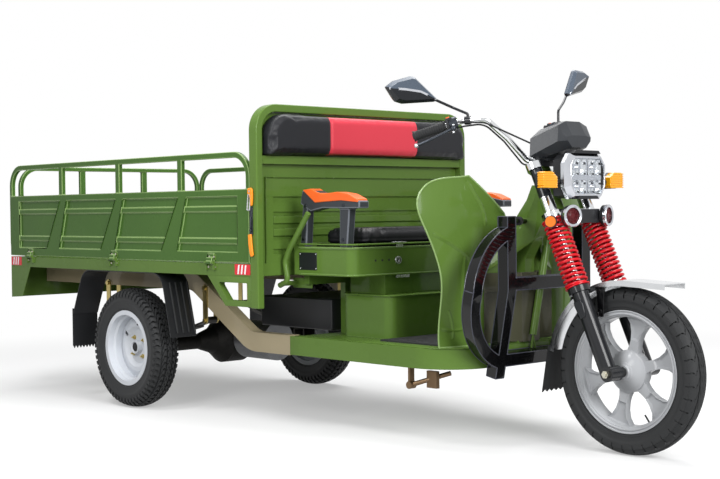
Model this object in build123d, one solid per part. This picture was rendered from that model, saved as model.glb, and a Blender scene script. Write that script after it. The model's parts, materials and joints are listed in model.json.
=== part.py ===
from build123d import *
import math
import os

os.makedirs("parts", exist_ok=True)

# Electric cargo tricycle. All sizes are in millimetres.
# It is modelled about the rear axle: +X forward, +Y to the left, +Z up, ground at Z = 0.
# Each part is moved along X as it is saved, so that the origin lies under the middle of the vehicle.

# ---------------------------------------------------------------- driving dimensions
cab_length = 1392               # front end of the bed to the front axle
track = 1060
steering_rake = 24.0            # degrees from the vertical
fork_offset = 50                # fork legs ahead of the steering axis
axle_lead = 12                  # front axle ahead of the fork legs
ease = 0.3                      # gap between pieces that seat on each other

rear_tyre_radius = 267
rear_tyre_width = 127
rear_bead_radius = 152
rear_flange_radius = 168
rear_rim_width = 104

front_tyre_radius = 295
front_tyre_width = 96
front_bead_radius = 203
front_flange_radius = 217
front_rim_width = 82
spring_length = 260
crown_gap = 198                 # underside of the lower yoke to that of the upper one

bed_overhang = 1007             # rear axle to the rear end of the bed
bed_length = 1925
bed_width = 1194
deck_z = 663                    # hinge line at the foot of the boards
board_clearance = 5
deck_depth = 52
board_height = 297
board_thickness = 36
rail_height = 448               # foot of a board to the top of its rail
rail_depth = 28
rail_bend = 92
board_gap = 10

hoop_z0 = 486                   # foot of the headboard's posts
hoop_top = 1296
hoop_width = 32
hoop_depth = 50
hoop_radius = 105

frame_rail_width = 50
frame_rail_height = 80
frame_rail_outer = 420          # outer face of the chassis rails
step_rail_height = 76
step_rail_z0 = 290              # underside of the cab floor's rails
sheet = 3

seat_depth = 350
seat_width = 880
seat_box_z0 = 616
seat_box_height = 112
battery_box_width = 580
battery_box_top = 540

# ---------------------------------------------------------------- places worked out from them
bed_x0 = -bed_overhang
bed_x1 = bed_x0 + bed_length
front_axle_x = bed_x1 + cab_length
half_bed = bed_width / 2
hoop_x0 = bed_x1 + board_gap
hoop_x1 = hoop_x0 + hoop_depth
half_hoop = half_bed + 5
deck_z0 = deck_z - deck_depth
rail_z1 = deck_z0
rail_mid_z = rail_z1 - frame_rail_height / 2
rail_y = frame_rail_outer - frame_rail_width / 2
wheel_y = track / 2
step_z1 = step_rail_z0 + step_rail_height
floor_z = step_z1 + sheet
seat_x0 = hoop_x1 + 22
seat_x1 = seat_x0 + seat_depth
seat_top_z = seat_box_z0 + seat_box_height
lid_x0 = seat_x0 + 62
lid_x1 = seat_x1 - 6
lid_y = seat_width / 2 - 72
frame_joint_x = hoop_x1 - 28
bulkhead_x = front_axle_x - front_tyre_radius - 215
floor_front_x = bulkhead_x + 50
shield_x = bulkhead_x - 2 - ease      # front face of the leg shields
guard_x = front_axle_x - front_tyre_radius - 85
hinge_radius = 7
hinge_stations = [bed_x0 + share * bed_length for share in (0.104, 0.490, 0.869)]
rear_hinge_stations = [share * bed_width for share in (-0.3, 0, 0.3)]
post_stations = [bed_x0 + share * bed_length for share in (0.250, 0.505, 0.753)]
hinge_y = half_bed + 10
rear_hinge_x = bed_x0 - 10
middle_x = (front_axle_x + front_tyre_radius + rear_hinge_x - hinge_radius) / 2
rake = math.radians(steering_rake)

# Plane that stands along the fork: local Z up the legs, local X ahead of them, from the front axle.
fork_plane = Plane(
    origin=(front_axle_x, 0, front_tyre_radius),
    x_dir=(math.cos(rake), 0, math.sin(rake)),
    z_dir=(-math.sin(rake), 0, math.cos(rake)),
)


# ---------------------------------------------------------------- helpers
def block(x0, x1, y0, y1, z0, z1):
    """A box given by its limits."""
    return Pos((x0 + x1) / 2, (y0 + y1) / 2, (z0 + z1) / 2) * Box(x1 - x0, y1 - y0, z1 - z0)


def both_sides(shape):
    """The shape and its mirror image across the vehicle's middle plane."""
    return [shape, mirror(shape, about=Plane.XZ)]


def side_profile(outline, y0, y1):
    """Extrude an outline drawn in X and Z from y0 to y1."""
    flat = Plane(origin=(0, y0, 0), x_dir=(1, 0, 0), z_dir=(0, -1, 0)) * outline
    return extrude(flat, amount=y1 - y0, dir=(0, 1, 0))


def front_profile(outline, x0, x1):
    """Extrude an outline drawn in Y and Z from x0 to x1."""
    flat = Plane(origin=(x0, 0, 0), x_dir=(0, 1, 0), z_dir=(1, 0, 0)) * outline
    return extrude(flat, amount=x1 - x0, dir=(1, 0, 0))


def polygon(points, radius=0):
    """A filled outline through the points, with its corners rounded."""
    face = make_face(Polyline(*points, close=True))
    if radius:
        face = fillet(face.vertices(), radius)
    return face


def rod(start, end, radius):
    """A round bar between two points."""
    line = Line(start, end)
    return sweep(Plane(origin=start, z_dir=line % 0) * Circle(radius), path=line)


def bent_tube(points, bends, radius):
    """A round tube along straight runs joined by tangent bends."""
    path = FilletPolyline(*points, radius=bends)
    return sweep(Plane(origin=path @ 0, z_dir=path % 0) * Circle(radius), path=path)


def bent_bar(points, bends, width, depth, width_dir):
    """A rectangular bar along straight runs joined by tangent bends; its width lies along width_dir."""
    path = FilletPolyline(*points, radius=bends)
    start = Plane(origin=path @ 0, x_dir=width_dir, z_dir=path % 0)
    return sweep(start * Rectangle(width, depth), path=path)


def wheel_ring(outline, y):
    """Spin an outline drawn as (across, radius) about a cross axis through the origin."""
    flat = Plane(origin=(0, y, 0), x_dir=(0, 1, 0), z_dir=(1, 0, 0)) * outline
    return revolve(flat, axis=Axis((0, 0, 0), (0, 1, 0)))


def cross_disc(radius, y0, y1, x=0, z=0):
    """A round disc or pin lying across the vehicle."""
    disc = Cylinder(radius, y1 - y0, align=(Align.CENTER, Align.CENTER, Align.MIN))
    return Pos(x, y0, z) * Rot(-90, 0, 0) * disc


def save(name, solids):
    """Move a part to the vehicle's own origin and write it."""
    if not isinstance(solids, list):
        solids = [solids]
    loose = [piece for shape in solids for piece in shape.solids()]
    moved = [Pos(-middle_x, 0, 0) * piece for piece in loose]
    whole = moved[0] if len(moved) == 1 else Compound(children=moved)
    export_step(whole, f"parts/{name}.step")


# ---------------------------------------------------------------- chassis rails and rear axle
drop_x0 = 290                   # where the rails start to drop from the bed to the cab floor
drop_x1 = frame_joint_x - 260
cross_height = 50


def main_rails():
    low_z = step_rail_z0 + frame_rail_height / 2 - 2
    points = [
        (bed_x0 + 40, rail_y, rail_mid_z),
        (drop_x0, rail_y, rail_mid_z),
        (drop_x1, rail_y, low_z),
        (frame_joint_x, rail_y, low_z),
    ]
    return both_sides(bent_bar(points, 150, frame_rail_width, frame_rail_height, (0, 1, 0)))


def main_crossmembers():
    inner = rail_y - frame_rail_width / 2
    members = []
    for x in (bed_x0 + 100, -420, 0, 200):
        members.append(block(x - 25, x + 25, -inner, inner, rail_z1 - cross_height, rail_z1))
    return members


spring_half = 385
leaf_thickness = 8
leaf_width = 50
axle_tube_radius = 35
spring_eye_z = rear_tyre_radius + 133
spring_eye_radius = 15
spring_bolt_radius = 8


def arc_strip(half_length, mid_z, end_z, thickness):
    """An upward-curved strip seen from the side."""
    lower = ThreePointArc((-half_length, end_z), (0, mid_z), (half_length, end_z))
    upper = ThreePointArc(
        (half_length, end_z + thickness), (0, mid_z + thickness), (-half_length, end_z + thickness)
    )
    right = Line(lower @ 1, upper @ 0)
    left = Line(upper @ 1, lower @ 0)
    return make_face(Curve() + [lower, right, upper, left])


def leaf_springs():
    seat_z = rear_tyre_radius + axle_tube_radius + 6
    main_z = seat_z + 3 * leaf_thickness
    sag = spring_eye_z - main_z - leaf_thickness / 2
    outline = arc_strip(spring_half, main_z, main_z + sag, leaf_thickness)
    for step, share in ((1, 0.78), (2, 0.56), (3, 0.34)):
        half_length = spring_half * share
        foot = main_z - step * leaf_thickness
        outline += arc_strip(half_length, foot, foot + sag * share * share, leaf_thickness + 0.5)
    leaves = side_profile(outline, rail_y - leaf_width / 2, rail_y + leaf_width / 2)
    for x in (-spring_half, spring_half):
        leaves += cross_disc(spring_eye_radius, rail_y - 25, rail_y + 25, x, spring_eye_z)
    for x in (-spring_half, spring_half):
        leaves -= cross_disc(spring_bolt_radius + ease, rail_y - 30, rail_y + 30, x, spring_eye_z)
    return both_sides(leaves)


def spring_shackles():
    """Pairs of hanger plates with a bolt through each spring eye, bolted to the sides of the rails."""
    shackles = []
    inner_y = rail_y - frame_rail_width / 2 - ease - 6
    outer_y = rail_y + frame_rail_width / 2 + ease
    for x in (-spring_half, spring_half):
        plate = block(x - 15, x + 15, 0, 6, spring_eye_z, 540)
        plate += cross_disc(15, 0, 6, x, spring_eye_z)
        plate += cross_disc(15, 0, 6, x, 540)
        bolt = cross_disc(spring_bolt_radius, inner_y - 8, outer_y + 14, x, spring_eye_z)
        head = cross_disc(10, outer_y + 6, outer_y + 14, x, 540)
        shackles += both_sides(Pos(0, inner_y, 0) * plate + Pos(0, outer_y, 0) * plate + bolt + head)
    return shackles


def rear_axle():
    """Banjo housing: straight tubes that swell into the differential, with brake plates."""
    plate_y = wheel_y - 88
    half = Polyline(
        (0, 0), (0, 108), (55, 108), (110, 62), (190, axle_tube_radius), (plate_y, axle_tube_radius),
        (plate_y, 100), (plate_y + 4, 100), (plate_y + 4, 20), (wheel_y - 20, 20), (wheel_y - 20, 0),
        close=True,
    )
    spun = wheel_ring(make_face(half), 0)
    housing = spun + mirror(spun, about=Plane.XZ)
    nose = Pos(70, 0, 0) * Rot(0, 90, 0) * Cylinder(48, 150)
    return Pos(0, 0, rear_tyre_radius) * (housing + nose)


def axle_clamps():
    """Spring seats and U-bolt plates that hold the axle to its springs."""
    clamps = []
    seat_z = rear_tyre_radius + axle_tube_radius
    stack_z = seat_z + 6 + 4 * leaf_thickness
    y0 = rail_y - leaf_width / 2
    y1 = rail_y + leaf_width / 2
    seat = block(-50, 50, y0 - 12, y1 + 12, seat_z - 14, seat_z + 6 - ease)
    seat -= cross_disc(axle_tube_radius + ease, y0 - 20, y1 + 20, 0, rear_tyre_radius)
    top = block(-50, 50, y0 - 12, y1 + 12, stack_z + 1.6, stack_z + 9.6)
    foot_z = rear_tyre_radius - axle_tube_radius - 10
    foot = block(-50, 50, y0 - 12, y1 + 12, foot_z, foot_z + 9)
    clamp = seat + top + foot
    for x in (-42, 42):
        for y in (y0 - 6, y1 + 6):
            clamp += rod((x, y, foot_z - 8), (x, y, stack_z + 22), 5)
    clamps += both_sides(clamp)
    return clamps


def drive_motor():
    """The drive motor: one plain round body bolted ahead of the differential."""
    x0 = 145 + ease
    return Pos(x0 + 110, 0, rear_tyre_radius + 10) * Rot(0, 90, 0) * Cylinder(88, 220)


# ---------------------------------------------------------------- rear wheels
def tyre_section(bead, outer, width, rim_inner):
    """Cross-section of a tyre between its rim flanges, as (across, radius)."""
    bead_half = rim_inner / 2 - ease
    flange_top = bead + 18
    shoulder = outer - 14
    left = [(-bead_half, bead + ease), (-bead_half, flange_top), (-width / 2, (bead + outer) / 2 + 8)]
    points = left + [(-width / 2 + 9, shoulder)]
    wall = Spline(*[Vector(*p) for p in points[1:]])
    other = mirror(wall, about=Plane.YZ)
    crown = ThreePointArc(wall @ 1, (0, outer), other @ 1)
    foot = Polyline(wall @ 0, points[0], (bead_half, bead + ease), other @ 0)
    return make_face(Curve() + [wall, crown, other, foot])


def rear_tyre(side):
    section = tyre_section(rear_bead_radius, rear_tyre_radius, rear_tyre_width, rear_rim_width - 8)
    return Pos(0, side * wheel_y, rear_tyre_radius) * wheel_ring(section, 0)


def rear_rim(side):
    """Pressed steel wheel: barrel with turned-up flanges and a dished disc set to its inner side."""
    half = rear_rim_width / 2
    wall = 4
    lip = rear_flange_radius
    bead = rear_bead_radius
    section = Polyline(
        (-half, lip), (-half, bead - wall), (-half + 30, bead - wall), (-half + 36, bead - 14),
        (half - 36, bead - 14), (half - 30, bead - wall), (half, bead - wall), (half, lip),
        (half - wall, lip), (half - wall, bead), (half - 32, bead), (half - 38, bead - 10),
        (-half + 38, bead - 10), (-half + 32, bead), (-half + wall, bead), (-half + wall, lip),
        close=True,
    )
    barrel = wheel_ring(make_face(section), 0)
    dish = Polyline(
        (-18, 30), (-18, 74), (-4, 92), (-4, 108), (-22, bead - 2), (-27, bead - 2),
        (-9, 108), (-9, 94), (-23, 76), (-23, 30),
        close=True,
    )
    rim = barrel + wheel_ring(make_face(dish), 0)
    for angle in (35, 215):
        turn = Rot(0, angle, 0)
        rim -= turn * Pos(100, 0, 0) * Rot(90, 0, 0) * extrude(SlotOverall(30, 18), amount=60, both=True)
    rim = Pos(0, -wheel_y, rear_tyre_radius) * mirror(rim, about=Plane.XZ)
    return rim if side < 0 else mirror(rim, about=Plane.XZ)


def rear_hub(side):
    """Brake drum with its bearing hub and the four wheel studs."""
    inner = wheel_y - 88 + 4 + 3
    face = wheel_y - 23
    section = Polyline(
        (inner, 112), (face, 112), (face, 29.5), (face + 30, 29.5), (face + 30, 24),
        (face + 22, 20.05), (inner + 6, 20.05), (inner + 6, 100), (inner, 100),
        close=True,
    )
    hub = wheel_ring(make_face(section), 0)
    hub = Pos(0, 0, rear_tyre_radius) * mirror(hub, about=Plane.XZ)
    return hub if side < 0 else mirror(hub, about=Plane.XZ)


# ---------------------------------------------------------------- cargo bed
def bed_frame():
    """Perimeter channel and cross bearers that the deck is welded to."""
    x0 = bed_x0 + 4
    x1 = hoop_x0
    beam = 40
    pieces = []
    side = block(x0, x1, half_bed - beam, half_bed, deck_z0, deck_z - 2 - sheet)
    pieces += both_sides(side)
    inner = half_bed - beam
    bays = 5
    for step in range(bays + 1):
        x = x0 + step * (x1 - beam - x0) / bays
        pieces.append(block(x, x + beam, -inner, inner, rail_z1, deck_z - 2 - sheet))
    return pieces


def bed_floor():
    """Steel deck with pressed stiffening ribs running along it."""
    floor = block(bed_x0 + 4, hoop_x0, -half_bed, half_bed, deck_z - 2 - sheet, deck_z - 2)
    return floor


def side_brackets():
    """Three-cornered gusset with a window, under the front of each side beam."""
    x1 = hoop_x0
    outline = polygon([(x1, deck_z0), (x1, hoop_z0 + 4), (x1 - 170, hoop_z0 + 4), (x1 - 290, deck_z0)])
    window = polygon([(x1 - 26, deck_z0 - 26), (x1 - 26, hoop_z0 + 28), (x1 - 156, hoop_z0 + 28),
                      (x1 - 222, deck_z0 - 26)], 8)
    plate = side_profile(outline - window, half_bed - 30, half_bed)
    return both_sides(plate)


def headboard_frame():
    """Bent square-tube hoop behind the driver."""
    y = half_hoop - hoop_width / 2
    z = hoop_top - hoop_width / 2
    points = [(hoop_x0 + 25, -y, hoop_z0), (hoop_x0 + 25, -y, z), (hoop_x0 + 25, y, z),
              (hoop_x0 + 25, y, hoop_z0)]
    hoop = bent_bar(points, hoop_radius - hoop_width / 2, hoop_depth, hoop_width, (1, 0, 0))
    return hoop


pad_z0 = 1092
pad_z1 = 1258
crossbar_z0 = 1058


def headboard_panel():
    """Pressed panel inside the hoop with a crossbar and raised ribs."""
    y = half_hoop - hoop_width - ease
    x = hoop_x0 + 14
    z1 = hoop_top - hoop_width - ease
    outline = Polyline((-y, deck_z0 + 3), (y, deck_z0 + 3), (y, z1), (-y, z1), close=True)
    face = make_face(outline)
    tops = face.vertices().sort_by(Axis.Y)[-2:]
    face = fillet(tops, hoop_radius - hoop_width)
    panel = front_profile(face, x, x + sheet)
    panel += block(x, hoop_x1 - 4, -y, y, crossbar_z0, crossbar_z0 + 32)
    panel += block(x + sheet, x + 14, -y, y, deck_z0 + 3, deck_z + 1)
    inner = y - 68
    field = Pos(0, (deck_z + crossbar_z0 - 98) / 2) * Rectangle(2 * y - 60, crossbar_z0 - 100 - deck_z)
    field -= Pos(0, (deck_z + crossbar_z0 - 95) / 2) * Rectangle(2 * inner, crossbar_z0 - 165 - deck_z)
    panel += front_profile(field, x + sheet, x + 12)
    for z in (deck_z + 56, crossbar_z0 - 190):
        panel += block(x + sheet, x + 12, -inner - 1, inner + 1, z, z + 36)
    return panel


def headboard_pad():
    y = half_hoop - hoop_width - 8
    x = hoop_x0 + 14 + sheet + ease
    face = make_face(Polyline((-y, pad_z0), (y, pad_z0), (y, pad_z1), (-y, pad_z1), close=True))
    tops = face.vertices().sort_by(Axis.Y)[-2:]
    face = fillet(tops, 88)
    return front_profile(face, x, hoop_x1 + 48)


def rib_outline(top0, top1, foot0, foot1, z0, z1):
    return polygon([(foot0, z0), (foot1, z0), (top1, z1), (top0, z1)])


def side_board():
    """Left drop side: pressed board, three slanted ribs, bent rail on posts, hinge knuckles."""
    x0 = bed_x0
    x1 = bed_x1
    y1 = half_bed
    y0 = half_bed - board_thickness
    z0 = deck_z - 2 + board_clearance
    z1 = deck_z + board_height
    skin_y = y1 - 10
    board = block(x0, x1, y0 + 10, y1, z0, z0 + 40)
    board += block(x0, x1, y0 + 10, y1, z1 - 28, z1)
    board += block(x0, x0 + 90, y0 + 10, y1, z0, z1)
    board += block(x1 - 76, x1, y0 + 10, y1, z0, z1)
    board += block(x0, x1, skin_y - sheet, skin_y, z0, z1)
    for z in (z0 + 75, z0 + 205):
        board += block(x0 + 80, x1 - 70, skin_y, y1 - 3, z, z + 22)
    for centre in (0.24, 0.49, 0.74):
        x = x0 + bed_length * centre
        lean = 100
        foot = 58
        outline = rib_outline(x - 28 + lean / 2, x + 28 + lean / 2, x - foot - lean / 2,
                              x + foot - lean / 2, z0 + 38, z1 - 26)
        board += side_profile(outline, skin_y, y1 + 0.01)
    rail_y1 = y1 - 4
    rail_top = deck_z + rail_height
    points = [
        (x0 + 2, rail_y1 - 10, z0 + 60),
        (x0 + 2, rail_y1 - 10, rail_top - 12),
        (x1 - 12, rail_y1 - 10, rail_top - 12),
        (x1 - 12, rail_y1 - 10, z1 - 4),
    ]
    rail = bent_bar(points, rail_bend, 20, 24, (0, 1, 0))
    board += rail
    for x in post_stations:
        board += block(x - 16, x + 16, rail_y1 - 20, rail_y1, z1 - 4, rail_top - 20)
    for x in hinge_stations:
        board += block(x - 20, x + 20, y1 - 2, y1 + 2, z0, z0 + 34)
        knuckle = Pos(x, hinge_y, deck_z) * Rot(0, 90, 0) * Cylinder(hinge_radius, 40)
        knuckle += block(x - 20, x + 20, y1 + 0.5, hinge_y + 3, deck_z + 3, deck_z + 22)
        board += knuckle
    return board


def tailgate():
    """Drop tailgate between the side boards, hinged along its foot."""
    y = half_bed - board_thickness - 6
    x0 = bed_x0 + 2
    x1 = x0 + 30
    z0 = deck_z - 2 + board_clearance
    z1 = deck_z + board_height
    gate = block(x0, x0 + sheet, -y, y, z0, z1)
    gate += block(x0, x1 - 8, -y, y, z0, z0 + 40)
    gate += block(x0, x1 - 8, -y, y, z1 - 28, z1)
    for edge in (-y, y - 60):
        gate += block(x0, x1 - 8, edge, edge + 60, z0, z1)
    for centre in (-0.25, 0.25):
        gate += block(x0, x1 - 8, 2 * y * centre - 30, 2 * y * centre + 30, z0, z1)
    rail_top = deck_z + rail_height
    points = [
        (x0 + 12, -y + 12, z1 - 4),
        (x0 + 12, -y + 12, rail_top - 12),
        (x0 + 12, y - 12, rail_top - 12),
        (x0 + 12, y - 12, z1 - 4),
    ]
    gate += bent_bar(points, rail_bend, 24, 20, (1, 0, 0))
    for edge in (-190, 190):
        gate += block(x0 + 2, x0 + 22, edge - 16, edge + 16, z1 - 4, rail_top - 20)
    for edge in rear_hinge_stations:
        gate += Pos(rear_hinge_x, edge, deck_z) * Rot(90, 0, 0) * Cylinder(hinge_radius, 40)
        gate += block(rear_hinge_x - 3, x0 + 1, edge - 20, edge + 20, deck_z + 3, deck_z + 22)
    return gate


def hinge_brackets():
    """Fixed halves of the board hinges, on the deck's edge."""
    pieces = []
    for x in hinge_stations:
        for end in (-30 - ease, 20 + ease):
            pin = Pos(x + end + 5, hinge_y, deck_z) * Rot(0, 90, 0) * Cylinder(hinge_radius, 10)
            leaf = block(x + end, x + end + 10, half_bed, hinge_y, deck_z - 30, deck_z - 3)
            pieces += both_sides(pin + leaf)
    for y in rear_hinge_stations:
        for end in (-30 - ease, 20 + ease):
            pin = Pos(rear_hinge_x, y + end + 5, deck_z) * Rot(90, 0, 0) * Cylinder(hinge_radius, 10)
            leaf = block(rear_hinge_x, bed_x0 + 4, y + end, y + end + 10, deck_z - 30, deck_z - 3)
            pieces.append(pin + leaf)
    return pieces


skirt_z0 = 458


def rear_skirt():
    """Light panel below the tailgate with its two side plates."""
    x0 = bed_x0 + 4
    panel = block(x0, x0 + sheet, -half_bed, half_bed, skirt_z0, deck_z0)
    outline = polygon([(x0 + sheet, skirt_z0), (x0 + 105, skirt_z0 + 6), (x0 + 186, deck_z0),
                       (x0 + sheet, deck_z0)])
    for y in (-half_bed, half_bed - sheet):
        panel += side_profile(outline, y, y + sheet)
    return panel


def tail_lights():
    lamps = []
    for y in (-430, 430):
        lamps.append(block(bed_x0 - 2, bed_x0 + 4 - ease, y - 90, y + 90, 500, 570))
    return lamps


# ---------------------------------------------------------------- mudguards and flaps
guard_y0 = wheel_y - rear_tyre_width / 2 - 5
guard_y1 = half_bed - 2
liner_end = (-425, 400)


def mudguard_line():
    """Centre line of a rear mudguard, seen from the side, front end first."""
    top = rail_z1 - 2 - ease
    return FilletPolyline((368, 335), (300, top), (-330, top), liner_end, radius=80)


def rear_mudguards():
    path = mudguard_line()
    outline = trace(path, 4)
    liner = side_profile(outline, guard_y0, guard_y1)
    return both_sides(liner)


def mud_flaps():
    x = liner_end[0] - 2 - ease
    flap = block(x - 4, x, guard_y0, guard_y1, 250, liner_end[1] + 25)
    return both_sides(flap)


# ---------------------------------------------------------------- cab floor, bulkhead and shields
def floor_rails():
    """Rails that carry the cab floor and turn in to meet across the front."""
    y = frame_rail_outer - frame_rail_width / 2
    z = step_rail_z0 + step_rail_height / 2
    front = floor_front_x - frame_rail_width / 2
    points = [
        (frame_joint_x + ease, -y, z), (front, -y, z), (front, y, z), (frame_joint_x + ease, y, z),
    ]
    rails = bent_bar(points, 170, frame_rail_width, step_rail_height, (0, 1, 0))
    inner = y - frame_rail_width / 2
    for x in (seat_x0 + 60, seat_x1 + 20):
        rails += block(x, x + 50, -inner - 1, inner + 1, step_rail_z0, step_z1)
    return rails


def floor_plate():
    """Sheet floor of the cab."""
    length = floor_front_x - 2 - seat_x0
    outline = Plane.XY.offset(step_z1) * Pos(seat_x0 + length / 2, 0) * Rectangle(length, seat_width - 46)
    plate = extrude(outline, amount=sheet)
    return fillet(plate.edges().filter_by(Axis.Z).sort_by(Axis.X)[-2:], 170)


def floor_mat():
    y = seat_width / 2 - 90
    return block(seat_x1 + 55, bulkhead_x - 60, -y, y, floor_z, floor_z + 6)


def shield_outline():
    """Left leg shield seen from the front: straight towards the middle, curved along its outer edge."""
    outer = Spline((240, 992), (335, 984), (430, 955), (466, 900), (455, 830), (431, 773), (400, 690),
                   (384, 620), (390, 500), (395, floor_z + ease))
    inner = Polyline(outer @ 1, (40, floor_z + ease), (40, 780), (72, 853), outer @ 0)
    return make_face(Curve() + [outer, inner])


shield_bulge = 800              # radius of the sheet, in plan and over its top


def leg_shields():
    """Domed sheets, upright below shield_bulge and rolled back above it."""
    top = math.radians(30)
    r0 = shield_bulge - sheet
    r1 = shield_bulge
    tip = (math.cos(top), math.sin(top))
    mid = (math.cos(top / 2), math.sin(top / 2))
    front = Line((r1, floor_z - 5), (r1, r1))
    roll = ThreePointArc((r1, r1), (r1 * mid[0], r1 + r1 * mid[1]), (r1 * tip[0], r1 + r1 * tip[1]))
    back_roll = ThreePointArc((r0 * tip[0], r1 + r0 * tip[1]), (r0 * mid[0], r1 + r0 * mid[1]), (r0, r1))
    back = Line(back_roll @ 1, (r0, floor_z - 5))
    section = make_face(Curve() + [front, roll, Line(roll @ 1, back_roll @ 0), back_roll, back,
                                   Line(back @ 1, front @ 0)])
    skin = Rot(0, 0, -30) * revolve(Plane.XZ * section, axis=Axis.Z, revolution_arc=60)
    skin = Pos(shield_x - shield_bulge, 150, 0) * skin
    return both_sides(skin & front_profile(shield_outline(), shield_x - 300, shield_x + 10))


def front_bulkhead():
    return block(shield_x - sheet, shield_x, -39.5, 39.5, floor_z + ease, 770)


def cover_section(z, rear, middle, nose):
    """Six-cornered section of the neck's cover at a height; each corner pair is (x, half width)."""
    right = [(x, -half) for x, half in (rear, middle, nose)]
    left = [(x, half) for x, half in (nose, middle, rear)]
    return Plane.XY.offset(z) * make_face(Polyline(*right, *left, close=True))


def neck_cover(head):
    """Pressed hood over the wheel that widens from the steering head down to the leg shields."""
    x0 = bulkhead_x - 2
    z0 = front_tyre_radius + 341
    rows = [
        (z0, (x0, 200), (x0 + 14, 150), (x0 + 32, 60)),
        (z0 + 126, (x0, 130), (x0 + 52, 80), (x0 + 114, 12)),
        (head.Z - 74, (head.X - 139, 48), (head.X - 89, 46), (head.X - 41, 16)),
        (head.Z - 9, (head.X - 103, 28), (head.X - 64, 33), (head.X - 29, 16)),
        (head.Z + 46, (head.X - 79, 25), (head.X - 49, 27), (head.X - 19, 16)),
    ]
    outer = loft([cover_section(*row) for row in rows], ruled=True)
    inside = []
    for z, rear, middle, nose in rows:
        inside.append((z, (rear[0] - 1, rear[1] - sheet), (middle[0] - 1, middle[1] - sheet),
                       (nose[0] - sheet, nose[1] - sheet)))
    inside[0] = (z0 - 1,) + inside[0][1:]
    inner = loft([cover_section(*row) for row in inside[:4]], ruled=True)
    cut = cross_disc(front_tyre_radius + 320, -250, 250, front_axle_x, front_tyre_radius)
    return outer - inner - cut


def steering_neck():
    """Head tube, the box beam that carries it down to the cab floor, and their hood."""
    s0 = lower_crown_s + crown_thickness + 1
    s1 = upper_crown_s - 1
    head = along_fork(stem_x, 0, s0, s1, 27)
    bore = along_fork(stem_x, 0, s0 - 10, s1 + 10, stem_radius + 0.05)
    middle = fork_plane.from_local_coords(Vector(stem_x, 0, (s0 + s1) / 2))
    path = FilletPolyline((middle.X - 8, middle.Z), (bulkhead_x + 26, 690), (bulkhead_x + 26, floor_z + 4),
                          radius=60)
    beam = side_profile(trace(path, 56), -26, 26)
    foot = block(bulkhead_x - 2, bulkhead_x + 47, -60, 60, floor_z, floor_z + 8)
    return (neck_cover(middle) + beam + foot + head) - bore


def bumper_guard():
    """Square-tube guard ahead of the leg shields: two posts, two D-shaped side bars, two crossbars.
    Below the upper crossbar it leans back on to the floor rails."""
    post_y = 215
    tube = 45
    knee_z = 575
    half = Pos(post_y, 544) * Rectangle(tube, 594)
    half += trace(ThreePointArc((post_y, 786), (post_y + 185, 545), (post_y, 305)), tube)
    outline = half + mirror(half, about=Plane.YZ)
    for z in (313, knee_z + tube / 2):
        outline += Pos(0, z) * Rectangle(2 * post_y, tube)
    guard = front_profile(outline, guard_x - tube / 2, guard_x + tube / 2)
    upper = guard & block(guard_x - 50, guard_x + 50, -500, 500, knee_z, 900)
    lower = guard & block(guard_x - 50, guard_x + 50, -500, 500, 200, knee_z)
    lower = Pos(-guard_x - tube / 2, 0, -knee_z) * lower
    lower = Pos(guard_x + tube / 2, 0, knee_z) * Rot(0, 11.17, 0) * lower
    return upper + lower


def cable_sleeve():
    """Long sleeve on the front brake's cable, between the neck's hood and the guard's lower crossbar."""
    top = (guard_x - 55, 74, 728)
    foot = (guard_x - 57, -6, 397)
    sleeve = rod(foot, top, 14)
    sleeve += rod(top, (guard_x - 55, 84, 772), 6)
    for y in (-10, 10):
        sleeve += rod((foot[0], foot[1], 400), (foot[0], foot[1] + y, 348), 4)
    return sleeve


# ---------------------------------------------------------------- seat and its boxes
def rounded_block(x0, x1, y0, y1, z0, z1, radius):
    """A box with rounded upright corners."""
    body = block(x0, x1, y0, y1, z0, z1)
    return fillet(body.edges().filter_by(Axis.Z), radius)


def seat_box():
    """Locker under the seat: folded sheet with a lip at top and foot, its top cut out under the lid."""
    z0 = seat_box_z0
    z1 = z0 + seat_box_height
    y = seat_width / 2
    lip = 6
    body = rounded_block(seat_x0 + lip, seat_x1 - lip, -y + lip, y - lip, z0, z1, 40)
    body += rounded_block(seat_x0, seat_x1, -y, y, z0, z0 + 5, 46)
    body += rounded_block(seat_x0, seat_x1, -y, y, z1 - 6, z1, 46)
    wall = lip + sheet
    body -= rounded_block(seat_x0 + wall, seat_x1 - wall, -y + wall, y - wall, z0 + sheet, z1 - sheet, 37)
    body -= block(lid_x0 + 14, seat_x1 - 26, -lid_y + 14, lid_y - 14, z1 - 10, z1 + 1)
    return body


def battery_box():
    """Closed battery locker between the floor and the seat locker, with a lipped rim."""
    y = battery_box_width / 2
    x0 = seat_x0 + 120
    x1 = seat_x1 + 50
    body = rounded_block(x0, x1, -y, y, floor_z, battery_box_top, 38)
    body += rounded_block(x0 - 5, x1 + 5, -y - 5, y + 5, battery_box_top - 5, battery_box_top, 43)
    return body


def battery_case():
    """Battery and controller case between the rails, behind the seat posts."""
    x0 = frame_joint_x - 390
    return block(x0, seat_x0 + 20 - ease, -255, 255, 380, 508)


lever_x = seat_x0 - 45
lever_z = 580
lever_y1 = 60 - seat_width / 2     # outer face of the plate that carries the lever's pin


def seat_frame():
    """Two posts with a cross beam at the rear and a hollow plinth, which carry the seat locker."""
    top = seat_box_z0
    x0 = seat_x0 + 20
    x1 = seat_x0 + 50
    frame = block(x0, x1, 40 - seat_width / 2, seat_width / 2 - 40, top - 40, top)
    for y in (-205, 165):
        frame += block(x0, x1, y, y + 40, floor_z, top - 39)
    frame += block(lever_x - 20, x1, lever_y1 - 6, lever_y1, lever_z - 20, lever_z + 20)
    x0 = seat_x0 + 130
    x1 = seat_x1 - 20
    plinth = block(x0, x1, -250, 250, battery_box_top, top)
    plinth -= block(x0 + 20, x1 - 20, -230, 230, battery_box_top - 1, top + 1)
    return [frame, plinth]


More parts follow.
